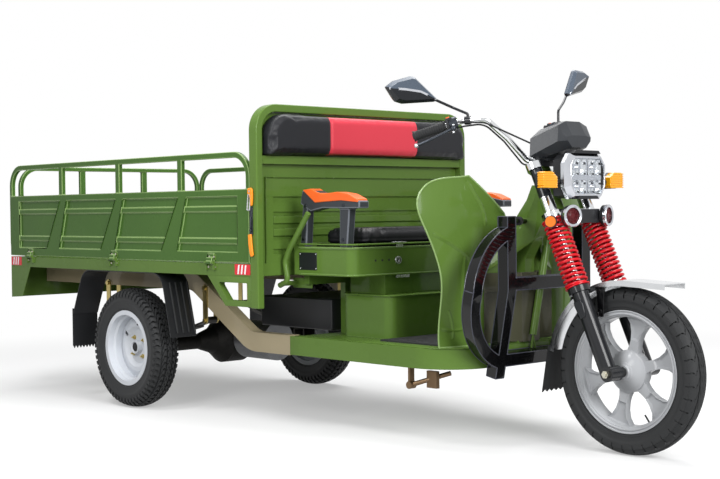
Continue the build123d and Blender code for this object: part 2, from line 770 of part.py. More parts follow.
def seat_cushion():
    return rounded_block(lid_x0, lid_x1, -lid_y, lid_y, seat_top_z + 14, seat_top_z + 72, 30)


lid_hinge_z = seat_top_z + 8
lid_hinge_x = lid_x0 - 8


def seat_pan():
    """Steel lid under the cushion with its hinge knuckles at the rear."""
    pan = block(lid_x0, lid_x1, -lid_y, lid_y, seat_top_z + ease, seat_top_z + 14)
    for y in (-240, 240):
        pan += cross_disc(6, y - 18, y + 18, lid_hinge_x, lid_hinge_z)
        pan += block(lid_hinge_x, lid_x0 + 4, y - 18, y + 18, lid_hinge_z - 3, lid_hinge_z + 3)
    return pan


def seat_hinges():
    """Fixed knuckles of the lid hinge, standing on the locker's top."""
    knuckles = []
    for y in (-240, 240):
        for end in (-32, 20):
            knuckle = cross_disc(6, y + end, y + end + 12, lid_hinge_x, lid_hinge_z)
            foot = block(lid_hinge_x - 6, lid_hinge_x, y + end, y + end + 12, seat_top_z, lid_hinge_z)
            knuckles.append(knuckle + foot)
    return knuckles


def armrests():
    rest = []
    z = seat_box_z0 + seat_box_height
    y0 = seat_width / 2 - 52
    y1 = seat_width / 2
    x = seat_x0
    outline = polygon([
        (x + 48, z + 172), (x + 60, z + 222), (x + 120, z + 226), (x + 200, z + 200), (x + 300, z + 196),
        (x + 392, z + 178), (x + 392, z + 150), (x + 300, z + 150), (x + 180, z + 152), (x + 110, z + 140),
    ])
    arm = side_profile(outline, y0, y1)
    rear = side_profile(polygon([(x + 36, z), (x + 72, z), (x + 86, z + 180), (x + 56, z + 180)]),
                        y0 + 8, y1 - 8)
    front = side_profile(polygon([(x + 268, z), (x + 312, z), (x + 330, z + 170), (x + 272, z + 170)]),
                         y0 + 8, y1 - 8)
    return both_sides(arm + rear + front)


def parking_lever():
    """Hand lever beside the seat on a cross pin."""
    y = -seat_width / 2 - 22
    x = seat_x0
    points = [(x + 122, y, 861), (x - 3, y, 708), (x - 24, y, 667), (x - 7, y, 591), (lever_x - 13, y, 572)]
    lever = bent_tube(points, [100, 40, 22], 11)
    lever += cross_disc(10, y, lever_y1 - 6 - ease, lever_x, lever_z)
    return lever


# ---------------------------------------------------------------- fork, handlebar and front end
leg_y = 109
leg_x = -axle_lead
stem_x = leg_x - fork_offset
axle_radius = 8
bar_radius = 11
stem_radius = 16
fork_tube_radius = 16.5
slider_radius = 30
lug_half = slider_radius + 1
mudguard_radius = front_tyre_radius + 24
mudguard_half = 62
mudguard_rear = 80              # degrees from the top back to its rear end
spring_foot_s = mudguard_radius + 9
spring_turns = 12.5
spring_radius = 33
spring_wire = 5
lower_crown_s = spring_foot_s + spring_length
upper_crown_s = lower_crown_s + crown_gap
crown_thickness = 26


def along_fork(x, y, s0, s1, radius):
    """A round piece along the fork from s0 to s1."""
    return fork_plane * Pos(x, y, (s0 + s1) / 2) * Cylinder(radius, s1 - s0)


def crown_plate(s, reach):
    outline = Plane.XY * make_hull(
        (Sketch() + [Pos(leg_x, leg_y) * Circle(reach), Pos(leg_x, -leg_y) * Circle(reach),
                     Pos(stem_x, 0) * Circle(34)]).edges()
    )
    return fork_plane * Pos(0, 0, s) * extrude(outline, amount=crown_thickness)


bar_clamp_s = upper_crown_s + crown_thickness + 38
bar_centre = fork_plane.from_local_coords(Vector(stem_x, 0, bar_clamp_s))
bar_x = bar_centre.X
bar_z = bar_centre.Z
lamp_point = fork_plane.from_local_coords(Vector(118, 0, upper_crown_s - 84))
lamp_x = lamp_point.X           # front face of the headlamp
lamp_z = lamp_point.Z


def fork_crowns():
    """Upper and lower yokes joined by the steering stem, with the bar clamps on top."""
    top = upper_crown_s + crown_thickness
    crowns = crown_plate(lower_crown_s, 38) + crown_plate(upper_crown_s, 32)
    crowns += along_fork(stem_x, 0, lower_crown_s, top + 8, stem_radius)
    for y in (-leg_y, leg_y):
        crowns -= along_fork(leg_x, y, lower_crown_s - 5, top + 5, fork_tube_radius + ease)
    for y in (-40, 40):
        clamp = Pos(stem_x, y, (top + bar_clamp_s + 20) / 2) * Box(44, 28, bar_clamp_s + 20 - top)
        clamp -= Pos(stem_x, y, bar_clamp_s) * Rot(90, 0, 0) * Cylinder(bar_radius + ease, 40)
        crowns += fork_plane * clamp
    return crowns


def fork_tubes():
    top = upper_crown_s + crown_thickness
    return [along_fork(leg_x, y, spring_foot_s - 1, top, fork_tube_radius) for y in (-leg_y, leg_y)]


def fork_sliders():
    """Lower legs with a cup under the spring and the axle lug at the foot."""
    legs = []
    lug_width = 2 * lug_half
    for y in (-leg_y, leg_y):
        leg = along_fork(leg_x, y, 0, spring_foot_s - 1 - ease, slider_radius)
        leg += along_fork(leg_x, y, spring_foot_s - 22, spring_foot_s - 1 - ease, 39)
        leg += fork_plane * Pos(0, y, 0) * Rot(90, 0, 0) * Cylinder(27, lug_width)
        leg -= fork_plane * Pos(0, y, 0) * Rot(90, 0, 0) * Cylinder(axle_radius + ease, lug_width + 20)
        stay_y0 = mudguard_half + ease
        side = 1 if y > 0 else -1
        stay = Pos(leg_x, side * (stay_y0 + leg_y) / 2, mudguard_radius - 9) * Box(40, leg_y - stay_y0, 12)
        leg += fork_plane * stay - along_fork(leg_x, y, 0, 400, slider_radius - 2)
        legs.append(leg)
    return legs


def fork_springs():
    """Coil springs round the upper tubes, between the sliders' cups and the lower yoke."""
    springs = []
    pitch = (lower_crown_s - spring_foot_s - 2 * spring_wire) / spring_turns
    for y in (-leg_y, leg_y):
        path = Helix(pitch=pitch, height=pitch * spring_turns, radius=spring_radius)
        wire = sweep(Plane(origin=path @ 0, z_dir=path % 0) * RegularPolygon(spring_wire, 8), path=path)
        springs.append(fork_plane * Pos(leg_x, y, spring_foot_s - 1 + spring_wire) * wire)
    return springs


def front_axle():
    """Through bolt with a hex head and nut outside the fork legs."""
    end = leg_y + lug_half + ease
    axle = cross_disc(axle_radius, -end - 16, end + 16)
    nut = extrude(RegularPolygon(14, 6), amount=11)
    axle += Pos(0, end, 0) * Rot(-90, 0, 0) * nut
    axle += Pos(0, -end, 0) * Rot(90, 0, 0) * nut
    return Pos(front_axle_x, 0, front_tyre_radius) * axle


def front_mudguard():
    """Curved guard over the front wheel: an arched channel with turned-down edges."""
    half = mudguard_half
    section = Polyline((-half, -18), (-half, 2), (half, 2), (half, -18), (half - 3, -18), (half - 3, -1),
                       (3 - half, -1), (3 - half, -18), close=True)
    flat = Plane(origin=(0, 0, mudguard_radius), x_dir=(0, 1, 0), z_dir=(1, 0, 0)) * make_face(section)
    hoop = revolve(flat, axis=Axis((0, 0, 0), (0, 1, 0)), revolution_arc=mudguard_rear + 2.7)
    guard = Rot(0, -mudguard_rear, 0) * hoop + Rot(0, 2.7, 0) * extrude(flat, amount=169, dir=(1, 0, 0))
    return Pos(front_axle_x, 0, front_tyre_radius) * guard


def front_flap():
    """Rubber flap on the mudguard's rear end, with a toothed foot."""
    points = [(20, 65), (20, -65)]
    for tooth in range(11):
        points.append((-158 + 10 * (tooth % 2), -65 + 13 * tooth))
    flap = extrude(Plane.XY.offset(mudguard_radius + 2 + ease) * polygon(points), amount=5)
    return Pos(front_axle_x, 0, front_tyre_radius) * Rot(0, -mudguard_rear, 0) * flap


def front_tyre():
    section = tyre_section(front_bead_radius, front_tyre_radius, front_tyre_width, front_rim_width - 8)
    return Pos(front_axle_x, 0, front_tyre_radius) * wheel_ring(section, 0)


hub_half = 48


def front_rim():
    """Cast wheel: barrel, domed hub and six spokes that widen towards the rim."""
    half = front_rim_width / 2
    bead = front_bead_radius
    lip = front_flange_radius
    section = Polyline(
        (-half, lip), (-half, bead - 5), (-half + 12, bead - 12), (half - 12, bead - 12), (half, bead - 5),
        (half, lip), (half - 4, lip), (half - 4, bead), (-half + 4, bead), (-half + 4, lip),
        close=True,
    )
    rim = wheel_ring(make_face(section), 0)
    hub = Polyline(
        (-hub_half, axle_radius + 0.05), (-hub_half, 26), (-40, 32), (-30, 52), (-12, 68), (-12, 70),
        (12, 70), (12, 68), (30, 52), (40, 32), (hub_half, 26), (hub_half, axle_radius + 0.05),
        close=True,
    )
    rim += wheel_ring(make_face(hub), 0)
    outline = Polyline((62, -22), (110, -15), (160, -20), (bead - 8, -42), (bead - 8, 42), (160, 20),
                       (110, 15), (62, 22), close=True)
    spoke = side_profile(make_face(outline), -12, 12)
    for step in range(6):
        rim += Rot(0, 60 * step + 22, 0) * spoke
    return Pos(front_axle_x, 0, front_tyre_radius) * rim


def axle_spacers():
    """Collars on the axle between the hub and the fork legs."""
    end = leg_y - lug_half - ease
    ring = cross_disc(17, hub_half + 1, end) - cross_disc(axle_radius + ease, hub_half, end + 1)
    return both_sides(Pos(front_axle_x, 0, front_tyre_radius) * ring)


def headlight_housing():
    """Black bowl behind the lamp."""
    face = polygon([(-95, -70), (-95, 58), (-68, 78), (68, 78), (95, 58), (95, -70), (66, -80), (-66, -80)])
    bowl = front_profile(face, lamp_x - 85, lamp_x - 36 - ease)
    back = Pos(lamp_x - 85, 0, 0) * Rot(0, 90, 0) * Cylinder(30, 60)
    return Pos(0, 0, lamp_z) * (bowl + back)


def headlight_lens():
    face = polygon([(-115, -41), (-115, 45), (-87, 81), (87, 81), (115, 45), (115, -41), (88, -83),
                    (-88, -83)])
    return Pos(0, 0, lamp_z) * front_profile(face, lamp_x - 36, lamp_x)


def lamp_brackets():
    """Ears from the fork tubes to the sides of the headlamp, and the plate that carries the horns."""
    ears = []
    s = upper_crown_s - 86
    mid = fork_plane.from_local_coords(Vector(leg_x, 0, s))
    for y in (-leg_y, leg_y):
        band = along_fork(leg_x, y, s - 24, s + 24, fork_tube_radius + 5)
        band -= along_fork(leg_x, y, s - 30, s + 30, fork_tube_radius + ease)
        inner = 95 + ease if y > 0 else -101 - ease
        ear = block(mid.X + 14, lamp_x - 40, inner, inner + 6, lamp_z - 40, lamp_z - 2)
        ears.append(band + ear)
    return ears


def indicators():
    """Turn lamps on short stalks beside the headlamp."""
    stalk = cross_disc(7, 101 + 2 * ease, 152, lamp_x - 47, lamp_z - 21)
    lamp = block(lamp_x - 56, lamp_x - 16, 150, 232, lamp_z - 47, lamp_z + 15)
    return both_sides(fillet(lamp.edges().filter_by(Axis.X), 14) + stalk)


def horns():
    """Twin horns on a plate under the headlamp, carried by the lower yoke."""
    z = lamp_z - 143
    yoke = fork_plane.from_local_coords(Vector(leg_x + 38, 0, lower_crown_s))
    horn = Pos(lamp_x, 102, z) * Rot(0, 0, 14) * Rot(0, 90, 0) * Cylinder(40, 30)
    plate = block(lamp_x - 33, lamp_x - 27, -72, 72, z - 26, z + 24)
    tab = block(yoke.X + ease, lamp_x - 32, -15, 15, yoke.Z - 4, yoke.Z + 4)
    neck = block(lamp_x - 33, lamp_x, 62, 88, z - 12, z + 12)
    return [horn + mirror(horn, about=Plane.XZ) + plate + tab + neck + mirror(neck, about=Plane.XZ)]


def instrument_pod():
    """Faceted dash pod on a pedestal that stands on the upper yoke."""
    s0 = upper_crown_s + crown_thickness
    base = fork_plane.from_local_coords(Vector(0, 0, s0))
    rows = [
        (-12, [(90, 9), (130, 21), (126, 85), (70, 120)]),
        (82, [(50, 41), (86, 73), (82, 131), (40, 147)]),
        (112, [(41, 51), (66, 75), (68, 88), (40, 94)]),
    ]
    faces = []
    for x, corners in rows:
        right = [(-y, base.Z + z) for y, z in corners]
        left = [(y, base.Z + z) for y, z in corners[::-1]]
        flat = Plane(origin=(base.X + x, 0, 0), x_dir=(0, 1, 0), z_dir=(1, 0, 0))
        faces.append(flat * make_face(Polyline(*right, *left, close=True)))
    pedestal = fork_plane * block(-34, 16, -60, 60, s0, s0 + 30)
    return loft(faces, ruled=True) + pedestal


bar_half = [(0, 72, 0), (-25, 150, 80), (-60, 230, 150), (-140, 271, 146), (-268, 390, 92)]


def bar_points(side):
    """Corners of one half of the handlebar, from the clamps out."""
    return [Vector(bar_x + x, side * y, bar_z + z) for x, y, z in bar_half]


def handlebar():
    points = bar_points(1)[::-1] + bar_points(-1)
    return bent_tube(points, [36, 34, 30, 28, 28, 30, 34, 36], bar_radius)


def grips():
    """Rubber grips on the ends of the bar."""
    inner, end = bar_points(1)[-2:]
    way = (inner - end).normalized()
    grip = rod(end - way * 3, end + way * 122, 17) - rod(end, end + way * 130, bar_radius + ease)
    return both_sides(grip)


def brake_levers():
    """Hand levers on perches clamped to the bar inside the grips."""
    inner, end = bar_points(1)[-2:]
    way = (inner - end).normalized()
    ahead = Vector(way.Y, -way.X, 0).normalized() * -1
    perch = rod(end + way * 135, end + way * 165, 24)
    pivot = end + way * 150 + ahead * 26 - Vector(0, 0, 18)
    reach = end + way * 60 + ahead * 40 - Vector(0, 0, 34)
    tip = end + way * 8 + ahead * 26 - Vector(0, 0, 38)
    lever = perch + Pos(*pivot) * Sphere(12) + bent_tube([pivot, reach, tip], [60], 5)
    return both_sides(lever - rod(end + way * 120, end + way * 180, bar_radius + ease))


cable_radius = 3.2


def held_cable(offsets, foot, bends):
    """Left-hand cable tied along the bar, from its perch past offset points of the bar's corners."""
    corners = bar_points(1)[::-1]
    way = (corners[1] - corners[0]).normalized()
    start = corners[0] + way * 166.1
    stops = [start] + corners[1:len(offsets)]
    points = [stop + Vector(*shift) for stop, shift in zip(stops, offsets)] + [foot]
    return bent_tube(points, bends, cable_radius)


def brake_cable():
    """From the perch along the underside of the bar to the side of the bar's clamp."""
    foot = fork_plane.from_local_coords(Vector(stem_x - 8, 56.4, bar_clamp_s - 16))
    shifts = [(4.3, -4, -19), (6, -3, -20), (-14, -6, -16), (-18, 1, -10), (-18, 4, -14)]
    return held_cable(shifts, foot, [60, 60, 60, 30])


def switch_cable():
    """From the front of the perch past the bar's top bend to the back of the instrument pod."""
    base = fork_plane.from_local_coords(Vector(0, 0, upper_crown_s + crown_thickness))
    foot = base + Vector(-14.7, 113, 67)
    return held_cable([(13.6, 14.6, 0), (14, 14, -6), (8, 14, -14)], foot, [60, 60])


mirror_x = bar_x - 207
mirror_outline = [(102, 8), (72, 29), (0, 49), (-14, 47), (-104, -24), (-100, -38), (34, -49), (64, -42)]
mirror_yaw = 13.6


def mirror_head(side, y, z, roll):
    """Angular mirror in its shell, turned outward by mirror_yaw, with its outer end raised by roll."""
    yaw = math.radians(mirror_yaw)
    out = Vector(-math.sin(yaw), side * math.cos(yaw), 0)
    ahead = Vector(math.cos(yaw), side * math.sin(yaw), 0)
    shell = extrude(polygon([(u, side * v) for u, v in mirror_outline]), amount=24, taper=24)
    place = Plane(origin=(mirror_x, side * y, z), x_dir=out, z_dir=ahead)
    return place * Rot(0, 0, side * roll) * shell


def mirrors():
    """Both mirrors with their stems and clamps; the left one stands taller."""
    collars = []
    inner, mid = bar_points(1)[-2], bar_points(1)[-3]
    way = (inner - mid).normalized()
    seat = mid + way * 68
    for side in (-1, 1):
        spot = Vector(seat.X, side * seat.Y, seat.Z)
        run = Vector(way.X, side * way.Y, way.Z)
        bore = rod(spot - run * 20, spot + run * 20, bar_radius + ease)
        collars.append(rod(spot - run * 11, spot + run * 11, 15.5) - bore)
    x, y, z = seat.X, seat.Y, seat.Z
    right = [(x, -y, z + 13), (x, -y, z + 24), (x - 40, -y - 38, z + 48), (x - 60, -y - 122, z + 78)]
    left = [(x, y, z + 13), (x - 3, y + 4, z + 58), (x - 40, y + 83, z + 95), (x - 62, y + 132, z + 130)]
    return [
        collars[0] + bent_tube(right, [8, 20], 5) + mirror_head(-1, 475, bar_z + 252, 0),
        collars[1] + bent_tube(left, [20, 20], 5) + mirror_head(1, 471, bar_z + 334, 16),
    ]


def board_latches():
    """Toggle latches on the outer sides of the headboard's posts."""
    y = half_hoop + ease
    x = (hoop_x0 + hoop_x1) / 2 - 8
    latch = block(x - 9, x + 9, y, y + 4, deck_z + 37, deck_z + 302)
    latch += block(x - 14, x + 12, y, y + 12, deck_z + 241, deck_z + 303)
    latch += block(x - 16, x + 14, y, y + 12, deck_z + 32, deck_z + 118)
    return both_sides(latch)


def brake_pedal():
    """Foot brake: a pedal on an arm that hangs from the right floor rail."""
    y = frame_rail_width / 2 - frame_rail_outer
    x = seat_x1 + 260
    z = step_rail_z0
    strap = block(x, x + 10, y - 12, y + 12, z - 70, z - ease)
    arm = rod((x + 5, y, z - 66), (x + 130, y + 80, z - 20), 9)
    pad = block(x + 55, x + 105, y + 30, y + 46, z - 75, z - 12)
    return strap + cross_disc(14, y - 14, y + 14, x + 5, z - 66) + arm + pad


def main():
    save("main_frame", main_rails() + main_crossmembers())
    save("leaf_springs", leaf_springs() + axle_clamps())
    save("spring_shackles", spring_shackles())
    save("rear_axle", rear_axle())
    save("drive_motor", drive_motor())
    for name, side in (("right", -1), ("left", 1)):
        save(f"rear_tyre_{name}", rear_tyre(side))
        save(f"rear_rim_{name}", [rear_rim(side), rear_hub(side)])
    save("bed_frame", bed_frame() + side_brackets())
    save("bed_floor", bed_floor())
    save("headboard_frame", headboard_frame())
    save("headboard_panel", headboard_panel())
    save("headboard_pad", headboard_pad())
    left_board = side_board()
    save("side_board_left", left_board)
    save("side_board_right", mirror(left_board, about=Plane.XZ))
    save("tailgate", tailgate())
    save("hinge_brackets", hinge_brackets())
    save("rear_skirt", rear_skirt())
    save("tail_lights", tail_lights())
    save("rear_mudguards", rear_mudguards() + mud_flaps())
    save("cab_frame", [floor_rails(), floor_plate()] + seat_frame())
    save("floor_mat", floor_mat())
    save("leg_shields", leg_shields() + [front_bulkhead()])
    save("steering_neck", steering_neck())
    save("bumper_guard", bumper_guard())
    save("seat_box", seat_box() + seat_hinges())
    save("battery_box", battery_box())
    save("battery_case", battery_case())
    save("seat_cushion", seat_cushion())
    save("seat_pan", seat_pan())
    save("armrests", armrests())
    save("parking_lever", parking_lever())
    save("fork_crowns", fork_crowns())
    save("fork_tubes", fork_tubes())
    save("fork_sliders", fork_sliders())
    save("fork_springs", fork_springs())
    save("front_axle", [front_axle()] + axle_spacers())
    save("front_mudguard", front_mudguard())
    save("front_tyre", front_tyre())
    save("front_rim", front_rim())
    save("handlebar", handlebar())
    save("grips", grips())
    save("instrument_pod", instrument_pod())
    save("headlight_housing", headlight_housing())
    save("headlight_lens", headlight_lens())
    save("lamp_brackets", lamp_brackets())
    save("indicators", indicators())
    save("horns", horns())
    save("front_flap", front_flap())
    save("cable_sleeve", cable_sleeve())
    save("brake_levers", brake_levers())
    save("brake_cable_left", brake_cable())
    save("brake_cable_right", mirror(brake_cable(), about=Plane.XZ))
    save("switch_cable_right", mirror(switch_cable(), about=Plane.XZ))
    save("mirrors", mirrors())
    save("board_latches", board_latches())
    save("brake_pedal", brake_pedal())


main()
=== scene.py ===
# %% [markdown]
# # An electric cargo tricycle
# The working vehicle comes from the CAD model: every panel, tube, wheel and hinge is loaded at
# its real size and stays where it is. This lesson gives each of them its finish, and adds what
# makes it look like the real thing: tyre treads, the stitched seat and headboard, lamp glass,
# mirrors and bolts.

# %% Load the frame
import json
import math

import bmesh
import bpy
from mathutils import Matrix, Vector
from mathutils.bvhtree import BVHTree


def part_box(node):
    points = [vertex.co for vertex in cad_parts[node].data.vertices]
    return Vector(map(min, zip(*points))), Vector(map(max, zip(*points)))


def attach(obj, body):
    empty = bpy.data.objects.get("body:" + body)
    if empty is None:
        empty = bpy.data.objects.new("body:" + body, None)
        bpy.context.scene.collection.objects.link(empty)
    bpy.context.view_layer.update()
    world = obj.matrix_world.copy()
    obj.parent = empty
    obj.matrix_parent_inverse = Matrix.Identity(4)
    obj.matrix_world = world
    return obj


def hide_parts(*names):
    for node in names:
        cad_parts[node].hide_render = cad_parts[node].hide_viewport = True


MM = 0.001

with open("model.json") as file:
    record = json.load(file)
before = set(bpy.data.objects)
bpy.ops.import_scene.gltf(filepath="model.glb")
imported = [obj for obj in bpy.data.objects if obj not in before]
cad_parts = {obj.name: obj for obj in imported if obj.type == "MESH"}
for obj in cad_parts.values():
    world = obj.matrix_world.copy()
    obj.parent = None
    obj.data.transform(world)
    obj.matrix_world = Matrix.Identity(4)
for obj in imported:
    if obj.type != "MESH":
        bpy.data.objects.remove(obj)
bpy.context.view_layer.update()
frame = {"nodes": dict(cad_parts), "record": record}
nodes = frame["nodes"]
scene = bpy.context.scene
print("nodes in the frame:", len(nodes))

# %% [markdown]
# ## Camera
# The vehicle is seen from its front right corner, from just under the height of the lamps. A lens
# of 67 mm keeps the bed from shrinking too fast towards the back.

# %% Camera
CAMERA_PLACE = Vector((4.332, -3.902, 0.868))
CAMERA_HEADING = 0.8224
CAMERA_PITCH = 0.0213
CAMERA_ROLL = -0.0115
LENS_MM = 67.32

camera_data = bpy.data.cameras.new("camera")
camera_data.lens = LENS_MM
camera_data.sensor_width = 36
camera_data.clip_end = 200
camera = bpy.data.objects.new("camera", camera_data)
scene.collection.objects.link(camera)
camera.matrix_world = (
    Matrix.Translation(CAMERA_PLACE)
    @ Matrix.Rotation(CAMERA_HEADING, 4, "Z")
    @ Matrix.Rotation(math.pi / 2 - CAMERA_PITCH, 4, "X")
    @ Matrix.Rotation(CAMERA_ROLL, 4, "Z")
)
scene.camera = camera
scene.view_settings.view_transform = "Standard"
print("camera", round((CAMERA_PLACE - Vector((0, 0, 0.7))).length, 2), "m away, lens", LENS_MM,
      "mm")

# %% [markdown]
# ## Colours and nodes
# Paint charts give colours as sRGB hex values, and shaders want linear light, so one function
# converts them. A second one adds a shader node with its settings and its inputs, where an input
# is either a plain value or another node's output.


# %% Colours and nodes
def linear(hex_colour):
    """A hex sRGB colour as linear RGBA."""
    parts = [int(hex_colour[i:i + 2], 16) / 255 for i in (0, 2, 4)]
    light = [p / 12.92 if p <= 0.04045 else ((p + 0.055) / 1.055) ** 2.4 for p in parts]
    return (*light, 1.0)


def add(material, kind, inputs=None, **settings):
    """Adds a node to a material's (or the world's) tree and links or sets its inputs."""
    tree = material.node_tree
    made = tree.nodes.new(kind)
    for name, value in settings.items():
        setattr(made, name, value)
    for socket, value in (inputs or {}).items():
        if isinstance(value, bpy.types.NodeSocket):
            tree.links.new(value, made.inputs[socket])
        else:
            made.inputs[socket].default_value = value
    return made


def new_material(name, colour, roughness, metallic=0.0, **more):
    """A material with a Principled shader; more holds further socket values, by lower-case name."""
    material = bpy.data.materials.new(name)
    material.use_nodes = True
    shader = material.node_tree.nodes["Principled BSDF"]
    shader.inputs["Base Color"].default_value = linear(colour)
    shader.inputs["Roughness"].default_value = roughness
    shader.inputs["Metallic"].default_value = metallic
    for socket, value in more.items():
        label = socket.replace("_", " ").title().replace("Ior", "IOR")
        shader.inputs[label].default_value = value
    return material, shader


def drive(material, source, shader, socket):
    """Links a node's output to one of the shader's sockets."""
    material.node_tree.links.new(source, shader.inputs[socket])


# %% [markdown]
# ## Studio
# The vehicle stands on a white sweep, as in a studio. The world is white where the camera, shiny
# surfaces and glass look at it, and a weaker grey where it only lights things. A broad lamp
# overhead makes the soft shadow under the vehicle, and a larger one further off lights its front.
# Two small ones on the right lift the tyres and the drop sides, which would otherwise face into
# the dark.

# %% Studio
WORLD_LIGHT = 0.20

world = bpy.data.worlds.new("studio")
scene.world = world
world.use_nodes = True
world.node_tree.nodes.clear()
path = add(world, "ShaderNodeLightPath")
seen = add(world, "ShaderNodeMath", {0: path.outputs["Is Camera Ray"],
                                     1: path.outputs["Is Glossy Ray"]}, operation="MAXIMUM")
seen = add(world, "ShaderNodeMath", {0: seen.outputs[0], 1: path.outputs["Is Transmission Ray"]},
           operation="MAXIMUM")
lit = add(world, "ShaderNodeBackground", {"Color": linear("f2f4f8"), "Strength": WORLD_LIGHT})
white = add(world, "ShaderNodeBackground", {"Color": (1, 1, 1, 1), "Strength": 1.0})
mixed = add(world, "ShaderNodeMixShader",
            {0: seen.outputs[0], 1: lit.outputs[0], 2: white.outputs[0]})
add(world, "ShaderNodeOutputWorld", {"Surface": mixed.outputs[0]})


def area_lamp(name, place, target, size, power):
    """A square soft lamp at a place, aimed at a target."""
    data = bpy.data.lights.new(name, "AREA")
    data.shape = "SQUARE"
    data.size = size
    data.energy = power
    lamp = bpy.data.objects.new(name, data)
    scene.collection.objects.link(lamp)
    aim = Vector(place) - Vector(target)
    lamp.matrix_world = Matrix.Translation(place) @ aim.to_track_quat("Z", "Y").to_matrix().to_4x4()
    return lamp


for name, place, target, size, power in (
        ("overhead lamp", (-0.4, 1.0, 4.6), (0.0, 0.0, 0.4), 3.6, 230),
        ("front lamp", (8.0, -2.0, 3.6), (0.8, 0.0, 0.7), 4.0, 640),
        ("side lamp", (1.1, -3.1, 1.8), (0.1, -0.6, 0.7), 1.2, 50),
        ("board lamp", (0.0, -2.4, 3.6), (-0.5, -0.6, 0.8), 1.0, 50)):
    area_lamp(name, place, target, size, power)
    print(name, size, "m wide,", power, "W")

# %% [markdown]
# ## Floor
# The floor is matt near the vehicle, so that it takes the shadow, and fades to plain white a few
# metres away, so that no horizon shows. To light that bounces off it, it's a mid grey, because a
# white floor would throw so much light upwards that black paint looks washed out.

# %% Floor
MATT_WITHIN, WHITE_BEYOND = 2.2, 4.6
GLOW_NEAR = 0.36

floor_mesh = bpy.data.meshes.new("floor")
shape = bmesh.new()
bmesh.ops.create_grid(shape, x_segments=1, y_segments=1, size=30)
shape.to_mesh(floor_mesh)
shape.free()
floor = bpy.data.objects.new("floor", floor_mesh)
scene.collection.objects.link(floor)
floor_paint = bpy.data.materials.new("pale studio floor")
floor_paint.use_nodes = True
floor_paint.node_tree.nodes.clear()
floor_path = add(floor_paint, "ShaderNodeLightPath")
seen_floor = add(floor_paint, "ShaderNodeMath",
                 {0: floor_path.outputs["Is Camera Ray"], 1: floor_path.outputs["Is Glossy Ray"]},
                 operation="MAXIMUM")
tone = add(floor_paint, "ShaderNodeMix",
           {0: seen_floor.outputs[0], 6: linear("9c9c9c"), 7: linear("f8f8f8")}, data_type="RGBA")
matt = add(floor_paint, "ShaderNodeBsdfDiffuse", {"Color": tone.outputs[2]})
glow = add(floor_paint, "ShaderNodeEmission", {"Color": (1, 1, 1, 1), "Strength": 1.0})
spot = add(floor_paint, "ShaderNodeTexCoord")
reach = add(floor_paint, "ShaderNodeVectorMath", {0: spot.outputs["Object"]}, operation="LENGTH")
fade = add(floor_paint, "ShaderNodeMapRange",
           {"Value": reach.outputs["Value"], "From Min": MATT_WITHIN, "From Max": WHITE_BEYOND,
            "To Min": GLOW_NEAR, "To Max": 1.0},
           interpolation_type="SMOOTHSTEP")
share = add(floor_paint, "ShaderNodeMath", {0: seen_floor.outputs[0], 1: fade.outputs[0]},
            operation="MULTIPLY")
floor_mix = add(floor_paint, "ShaderNodeMixShader",
                {0: share.outputs[0], 1: matt.outputs[0], 2: glow.outputs[0]})
add(floor_paint, "ShaderNodeOutputMaterial", {"Surface": floor_mix.outputs[0]})
floor_mesh.materials.append(floor_paint)
print("floor matt within", MATT_WITHIN, "m, white beyond", WHITE_BEYOND, "m")

# %% [markdown]
# ## Enamels
# Each finish is a real coating or moulding compound, named for it. Object coordinates are in
# metres on every piece, so a noise scale of 1000 has features of about a millimetre. Paint isn't
# one colour: it drifts a little over a panel, and its surface has a faint orange peel, which
# breaks up what it reflects.


# %% Enamels
def grain(material, shader, scale, strength, distance, detail=4.0, texture="ShaderNodeTexNoise"):
    """Bumps a surface with a fine noise, sized by its scale per metre."""
    place = add(material, "ShaderNodeTexCoord")
    noise = add(material, texture, {"Vector": place.outputs["Object"], "Scale": scale})
    if "Detail" in noise.inputs:
        noise.inputs["Detail"].default_value = detail
    height = noise.outputs.get("Fac") or noise.outputs["Distance"]
    bump = add(material, "ShaderNodeBump",
               {"Strength": strength, "Distance": distance, "Height": height})
    drive(material, bump.outputs[0], shader, "Normal")
    return noise


def vary(material, shader, low, high, scale, socket="Base Color", detail=3.0):
    """Lets a colour or a value drift slowly between two limits."""
    place = add(material, "ShaderNodeTexCoord")
    noise = add(material, "ShaderNodeTexNoise",
                {"Vector": place.outputs["Object"], "Scale": scale, "Detail": detail})
    if socket == "Base Color":
        mix = add(material, "ShaderNodeMix",
                  {0: noise.outputs["Fac"], 6: linear(low), 7: linear(high)}, data_type="RGBA")
        drive(material, mix.outputs[2], shader, socket)
        return
    span = add(material, "ShaderNodeMapRange",
               {"Value": noise.outputs["Fac"], "From Min": 0.3, "From Max": 0.7,
                "To Min": low, "To Max": high})
    drive(material, span.outputs[0], shader, socket)


def gloss_paint(name, low, high, roughness=0.24, coat=0.22):
    """Baked enamel on pressed steel: a slow drift of colour and a faint orange peel."""
    material, shader = new_material(name, low, roughness, coat_weight=coat, coat_roughness=0.05,
                                    specular_ior_level=0.05)
    vary(material, shader, low, high, 3.0)
    vary(material, shader, roughness - 0.05, roughness + 0.08, 9.0, "Roughness")
    grain(material, shader, 160, 0.05, 0.0006, detail=1.0)
    return material


# The cab, shields and headboard: a yellow-green that stays clear in shade.
green_enamel = gloss_paint("green enamel", "526e2e", "5c7935", 0.26)
# The drop sides' green is deeper and duller; the deeper colour is painted shade.
board_enamel_painted_shade = gloss_paint("green enamel on the boards, darkened for painted shade", "40602a", "4b6c31", 0.26, 0.12)
# Each green edge gets a pale line, a painted highlight along the fold.
green_edge_painted_highlight = gloss_paint("green enamel, paler as a painted highlight on folded edges", "7b975a", "88a366", 0.2, 0.4)
# The same painted highlight on the black guard, where it shows as grey.
black_edge_painted_highlight = gloss_paint("black enamel, paler as a painted highlight on folded edges", "34363f", "42444e", 0.2, 0.5)
# The long rails under the bed are a warm stone colour against the green.
cream_enamel = gloss_paint("cream enamel", "9f9276", "aa9e82", 0.3)
